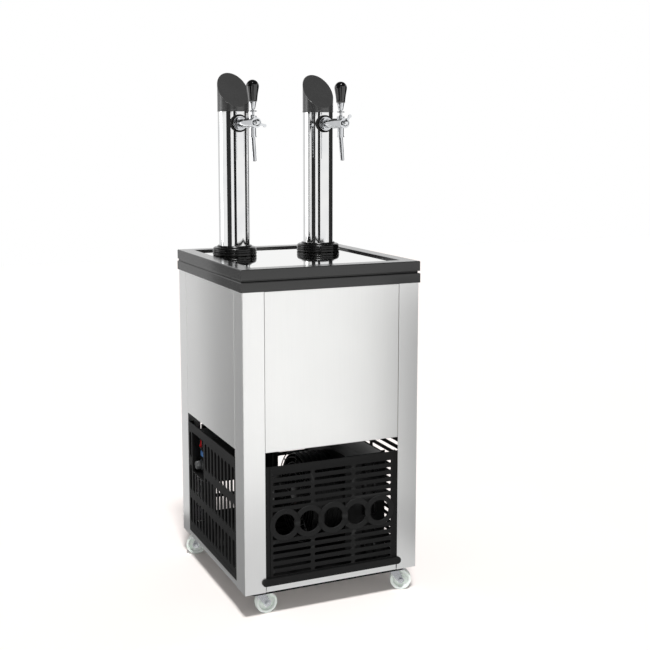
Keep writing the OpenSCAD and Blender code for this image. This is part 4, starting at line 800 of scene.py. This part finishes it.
# controls behind the window
panel = {"x": -195, "y": 130, "knob": 260, "knobIn": 0.5}
dressed("control_box", mouldedPolypropylene, {"round": 0.8})
dressed("switch_housing", satinAbs, {"round": 0.6})
dressed("power_rocker", mouldedPolycarbonate, {"round": 0.45})
label = {"z": 288, "thick": 0.8, "halfY": 10, "halfZ": 7, "round": 0.25}
plate = block("controlLabel", (panel["x"] - label["thick"], panel["x"]),
              (panel["y"] - label["halfY"], panel["y"] + label["halfY"]),
              (label["z"] - label["halfZ"], label["z"] + label["halfZ"]))
roundPicked(plate, lambda p: True, label["round"], steps=2)
settle(smoothOver(plate), blueEnamel, "control_label")
# skirted knob: every third upright of its grip is drawn in to make the flutes
knob = {"sides": 72, "flute": 3, "fluteScale": 0.92, "fluteFrom": 8.5, "pointerRound": 0.4,
        "pointer": ((-0.9, 0.9), (3, 12), (4, 15.8))}
skirtOutline = [(3, -8), (3, 0.2), (13.2, 0.2), (14, 1), (13.6, 2.6), (12.6, 4), (11.2, 4.3)]
gripOutline = [(11, 3.6), (10.8, 5), (10.2, 14.6), (9.2, 15.9), (4, 15.9)]
skirt = turned("thermostatKnob", skirtOutline, sides=knob["sides"])
grip = turned("grip", gripOutline, sides=knob["sides"])
intoEdit(grip)
bpy.ops.mesh.select_all(action="DESELECT")
bpy.ops.object.mode_set(mode="OBJECT")
for v in grip.data.vertices:
    upright = round(math.degrees(math.atan2(v.co.y, v.co.x)) / (360 / knob["sides"]))
    v.select = upright % knob["flute"] == 0 and v.co.xy.length > knob["fluteFrom"] / 1000
bpy.ops.object.mode_set(mode="EDIT")
bpy.ops.transform.resize(value=(knob["fluteScale"], knob["fluteScale"], 1), center_override=(0, 0, 0))
bpy.ops.object.mode_set(mode="OBJECT")
pointer = roundEdges(block("pointer", *knob["pointer"]), knob["pointerRound"], steps=2)
joined(skirt, smoothOver(grip, angle=60), pointer)
fixPlace(skirt, (panel["x"] - panel["knobIn"], panel["y"], panel["knob"]), (0, -90, 0))
settle(skirt, greyAbs, "thermostat_knob")

# rear connections
dressed("mains_gland", mouldedPolypropylene, {"round": 0.7})
stem = {"y": 214, "z": 358, "places": (-90, 64)}
nutOutline = [(8.8, 0), (10, 0.8), (10, 4.2), (8.8, 5)]
stemOutline = [(7, -7.8), (7, 0), (7, 5), (4.75, 5), (4.75, 9.5), (4.35, 9.8), (4.35, 11.4), (4.75, 11.7),
               (4.75, 21.2), (4.1, 22), (2.8, 22), (2.8, 12)]
inlets = []
for x in stem["places"]:
    spot = (x, stem["y"], stem["z"])
    inlets.append(turned("beerInlets", stemOutline, sides=56, along="+y", at=spot))
    inlets.append(turned("stemNut", nutOutline, sides=6, along="+y", at=spot))
settle(joined(*inlets), chromePlate, "beer_inlets")

# pan-head screws that hold the rear sheets, with a cross slot in each head
screws = {"x": 150, "y": 214, "z": (346, 376), "slotDeep": (1.1, 3), "slotLong": 1.9, "slotHalf": 0.35}
headOutline = [(3.4, 0), (3.4, 0.5), (3.1, 1.1), (2.4, 1.6), (1.2, 1.8)]
slotY = [screws["y"] + deep for deep in screws["slotDeep"]]
slotSizes = ((screws["slotLong"], screws["slotHalf"]), (screws["slotHalf"], screws["slotLong"]))
heads = []
for x in (-screws["x"], screws["x"]):
    for z in screws["z"]:
        head = turned("rearScrews", headOutline, sides=32, along="+y", at=(x, screws["y"], z))
        for wide, tall in slotSizes:
            cutWith(head, block("slot", (x - wide, x + wide), slotY, (z - tall, z + tall)))
        heads.append(smoothOver(head))
addOn(joined(*heads), zincPlate, "cabinet")
print("controls and connections fitted")

# casters: side, end and swivel in degrees of each
caster = {"x": 172, "y": 200, "trail": 20, "radius": 25, "half": 9,
          "turns": {"front_left": (-1, -1, 0), "front_right": (1, -1, -23),
                    "rear_left": (-1, 1, 157), "rear_right": (1, 1, 205)}}
dressed("caster_plates", zincPlate, {"round": 0.4, "steps": 2})
w = caster["half"]
halfWheel = [(3.05, 0), (3.05, w), (7.4, w), (8, w - 0.6), (8.8, 4), (9.6, 3.1), (17, 3.1), (18, 3.9),
             (18.9, w - 0.7), (19.6, w), (22.4, w),
             *arc((22.8, w - 2.2), (2.2, 2.2), start=80, end=0, steps=4)]
wheelOutline = halfWheel + [(a, -b) for a, b in reversed(halfWheel)][:-1]
for name, (sideways, endways, swivel) in caster["turns"].items():
    dressed(name + "_fork", zincPlate, {"round": 0.5, "steps": 2})
    node = name + "_wheel"
    wheel = turned(plainName(node), wheelOutline, sides=80, ring=True)
    a = math.radians(swivel)
    spot = (sideways * caster["x"] + caster["trail"] * math.cos(a),
            endways * caster["y"] + caster["trail"] * math.sin(a), caster["radius"])
    settle(fixPlace(wheel, spot, (90, 0, swivel)), naturalNylon, node)
print("casters mounted")

# floor, light and camera
studio = {"floorSize": 14, "floorColour": "#fafaf9", "floorSeen": "#fbf4f1", "floorRough": 0.9,
          "floorShine": 0.1, "skyDiffuse": 0.32, "sunPower": 2.85, "sunSoft": 9, "sunTurn": (24, -8, 0)}
pickOnly()
bpy.ops.mesh.primitive_plane_add(size=studio["floorSize"], location=(0, 0, 0))
floor = bpy.context.object
floor.name = "floor"
floorFinish = bpy.data.materials.new("paleFloor")
floorFinish.use_nodes = True
floorTree = floorFinish.node_tree
floorShader = floorTree.nodes["Principled BSDF"]
# the floor is a touch warmer to the camera than in mirrored light, which tints only the shadow
straight = putNode(floorTree, "LightPath").outputs["Is Camera Ray"]
floorTones = {"Factor": straight, "A": linear(studio["floorColour"]), "B": linear(studio["floorSeen"])}
floorTone = putNode(floorTree, "Mix", floorTones, data_type="RGBA")
floorTree.links.new(floorTone.outputs["Result"], floorShader.inputs["Base Color"])
floorShader.inputs["Roughness"].default_value = studio["floorRough"]
floorShader.inputs["Specular IOR Level"].default_value = studio["floorShine"]
floor.data.materials.append(floorFinish)

# the sky is white where it is seen or mirrored, and softer as light
sky = bpy.data.worlds.new("whiteStudio")
bpy.context.scene.world = sky
sky.use_nodes = True
skyTree = sky.node_tree
rays = putNode(skyTree, "LightPath").outputs
seen = putNode(skyTree, "Math", {0: rays["Is Camera Ray"], 1: rays["Is Glossy Ray"]}, operation="MAXIMUM")
seen = putNode(skyTree, "Math", {0: seen.outputs[0], 1: rays["Is Transmission Ray"]}, operation="MAXIMUM")
power = putNode(skyTree, "MapRange", {"Value": seen.outputs[0], "To Min": studio["skyDiffuse"], "To Max": 1})
skyTree.nodes["Background"].inputs["Color"].default_value = (1, 1, 1, 1)
skyTree.links.new(power.outputs[0], skyTree.nodes["Background"].inputs["Strength"])
pickOnly()
sunTurn = [math.radians(t) for t in studio["sunTurn"]]
bpy.ops.object.light_add(type="SUN", location=(0, 0, 3), rotation=sunTurn)
sun = bpy.context.object
sun.data.energy = studio["sunPower"]
sun.data.angle = math.radians(studio["sunSoft"])


# flags, shades and a softbox, seen only in gloss
def standFlag(name, grey, size, place, turn):
    finish = bpy.data.materials.new(name)
    finish.use_nodes = True
    tree = finish.node_tree
    glow = putNode(tree, "Emission", {"Color": (1, 1, 1, 1), "Strength": grey})
    tree.links.new(glow.outputs[0], tree.nodes["Material Output"].inputs["Surface"])
    pickOnly()
    bpy.ops.mesh.primitive_plane_add(size=1, rotation=[math.radians(t) for t in turn], location=place)
    flag = bpy.context.object
    flag.name = name
    flag.scale = (*size, 1)
    flag.data.materials.append(finish)
    for ray in ("camera", "diffuse", "transmission", "volume_scatter", "shadow"):
        setattr(flag, "visible_" + ray, False)


# turn from the front and half width of each tower flag, in degrees, and its grey
towerFlags = {"distance": 2.4, "height": 2.2, "foot": 0.02,
              "turns": [(-59, 16, 0.03), (-13.4, 9.2, 0.015), (81.4, 11, 0.02), (115.5, 10.5, 0.02),
                        (-160, 12, 0.7)]}
for middle, half, grey in towerFlags["turns"]:
    a, reach, tall = math.radians(middle), towerFlags["distance"], towerFlags["height"]
    standFlag("towerFlag", grey, (2 * reach * math.tan(math.radians(half)), tall),
              (reach * math.sin(a), -reach * math.cos(a), towerFlags["foot"] + tall / 2), (90, 0, middle))
# grey, size, place and turn of each of the others: dark ones for chrome, grey ones for the satin steel
flags = {
    "topFlag": (0.05, (7, 7), (0, 0, 3.2), (0, 0, 0)),
    "nearFlag": (0.03, (0.24, 0.6), (0.6, 0.104, 1.0), (90, 0, 90)),
    "softBox": (3.2, (0.76, 0.95), (-2.035, 1.272, 0.82), (90, 0, -122)),
    "tapFlag": (0.03, (3.6, 1.4), (-2.25, -0.82, 1.9), (90, 0, -70)),
    "rightShade": (0.3, (0.9, 0.64), (0.93, -0.9, 0.34), (90, 0, 0)),
    "rightFloorShade": (0.3, (0.8, 0.62), (0.75, -0.57, 0.004), (0, 0, 0)),
    "frontFloorShade": (0.66, (0.86, 0.8), (-0.08, -0.66, 0.003), (0, 0, 0)),
    "leftShade": (0.22, (0.42, 0.75), (-0.55, 0.33, 0.395), (90, 0, 0)),
    "leftFloorShade": (0.25, (0.52, 0.75), (-0.485, 0.12, 0.004), (0, 0, 0)),
    "leftFarShade": (0.66, (0.55, 0.75), (-0.46, 0.5, 0.395), (90, 0, 0)),
    "rearShade": (0.5, (0.66, 0.62), (-0.33, 0.98, 0.33), (90, 0, 0)),
    "rearRightShade": (0.7, (0.7, 0.62), (0.36, 1.05, 0.33), (90, 0, 0)),
    "leftWideShade": (0.5, (0.8, 0.62), (-1.0, -0.3, 0.33), (90, 0, 90)),
    "rearFloorShade": (0.66, (0.9, 0.7), (0.1, 0.75, 0.003), (0, 0, 0)),
    "sideShade": (0.35, (0.9, 0.62), (0.95, 0.3, 0.33), (90, 0, 90)),
    "sideFloorShade": (0.6, (0.68, 0.6), (0.6, 0.08, 0.004), (0, 0, 0)),
    "cornerFloorShade": (0.55, (0.68, 0.7), (-0.87, -0.75, 0.003), (0, 0, 0))}
for name, (grey, size, place, turn) in flags.items():
    standFlag(name, grey, size, place, turn)

# the camera looks slightly down, and a small shift of its lens keeps the uprights nearly parallel
view = {"place": (-0.9894, -2.4212, 1.073), "yaw": 23.924, "pitch": 7.73, "lens": 60.358, "shift": -0.06,
        "sensor": 36}
pickOnly()
viewTurn = (math.radians(90 - view["pitch"]), 0, math.radians(-view["yaw"]))
bpy.ops.object.camera_add(location=view["place"], rotation=viewTurn)
camera = bpy.context.object
camera.data.lens = view["lens"]
camera.data.shift_y = view["shift"]
camera.data.sensor_width = view["sensor"]
bpy.context.scene.camera = camera
bpy.context.scene.view_settings.view_transform = "Standard"
print("studio ready")
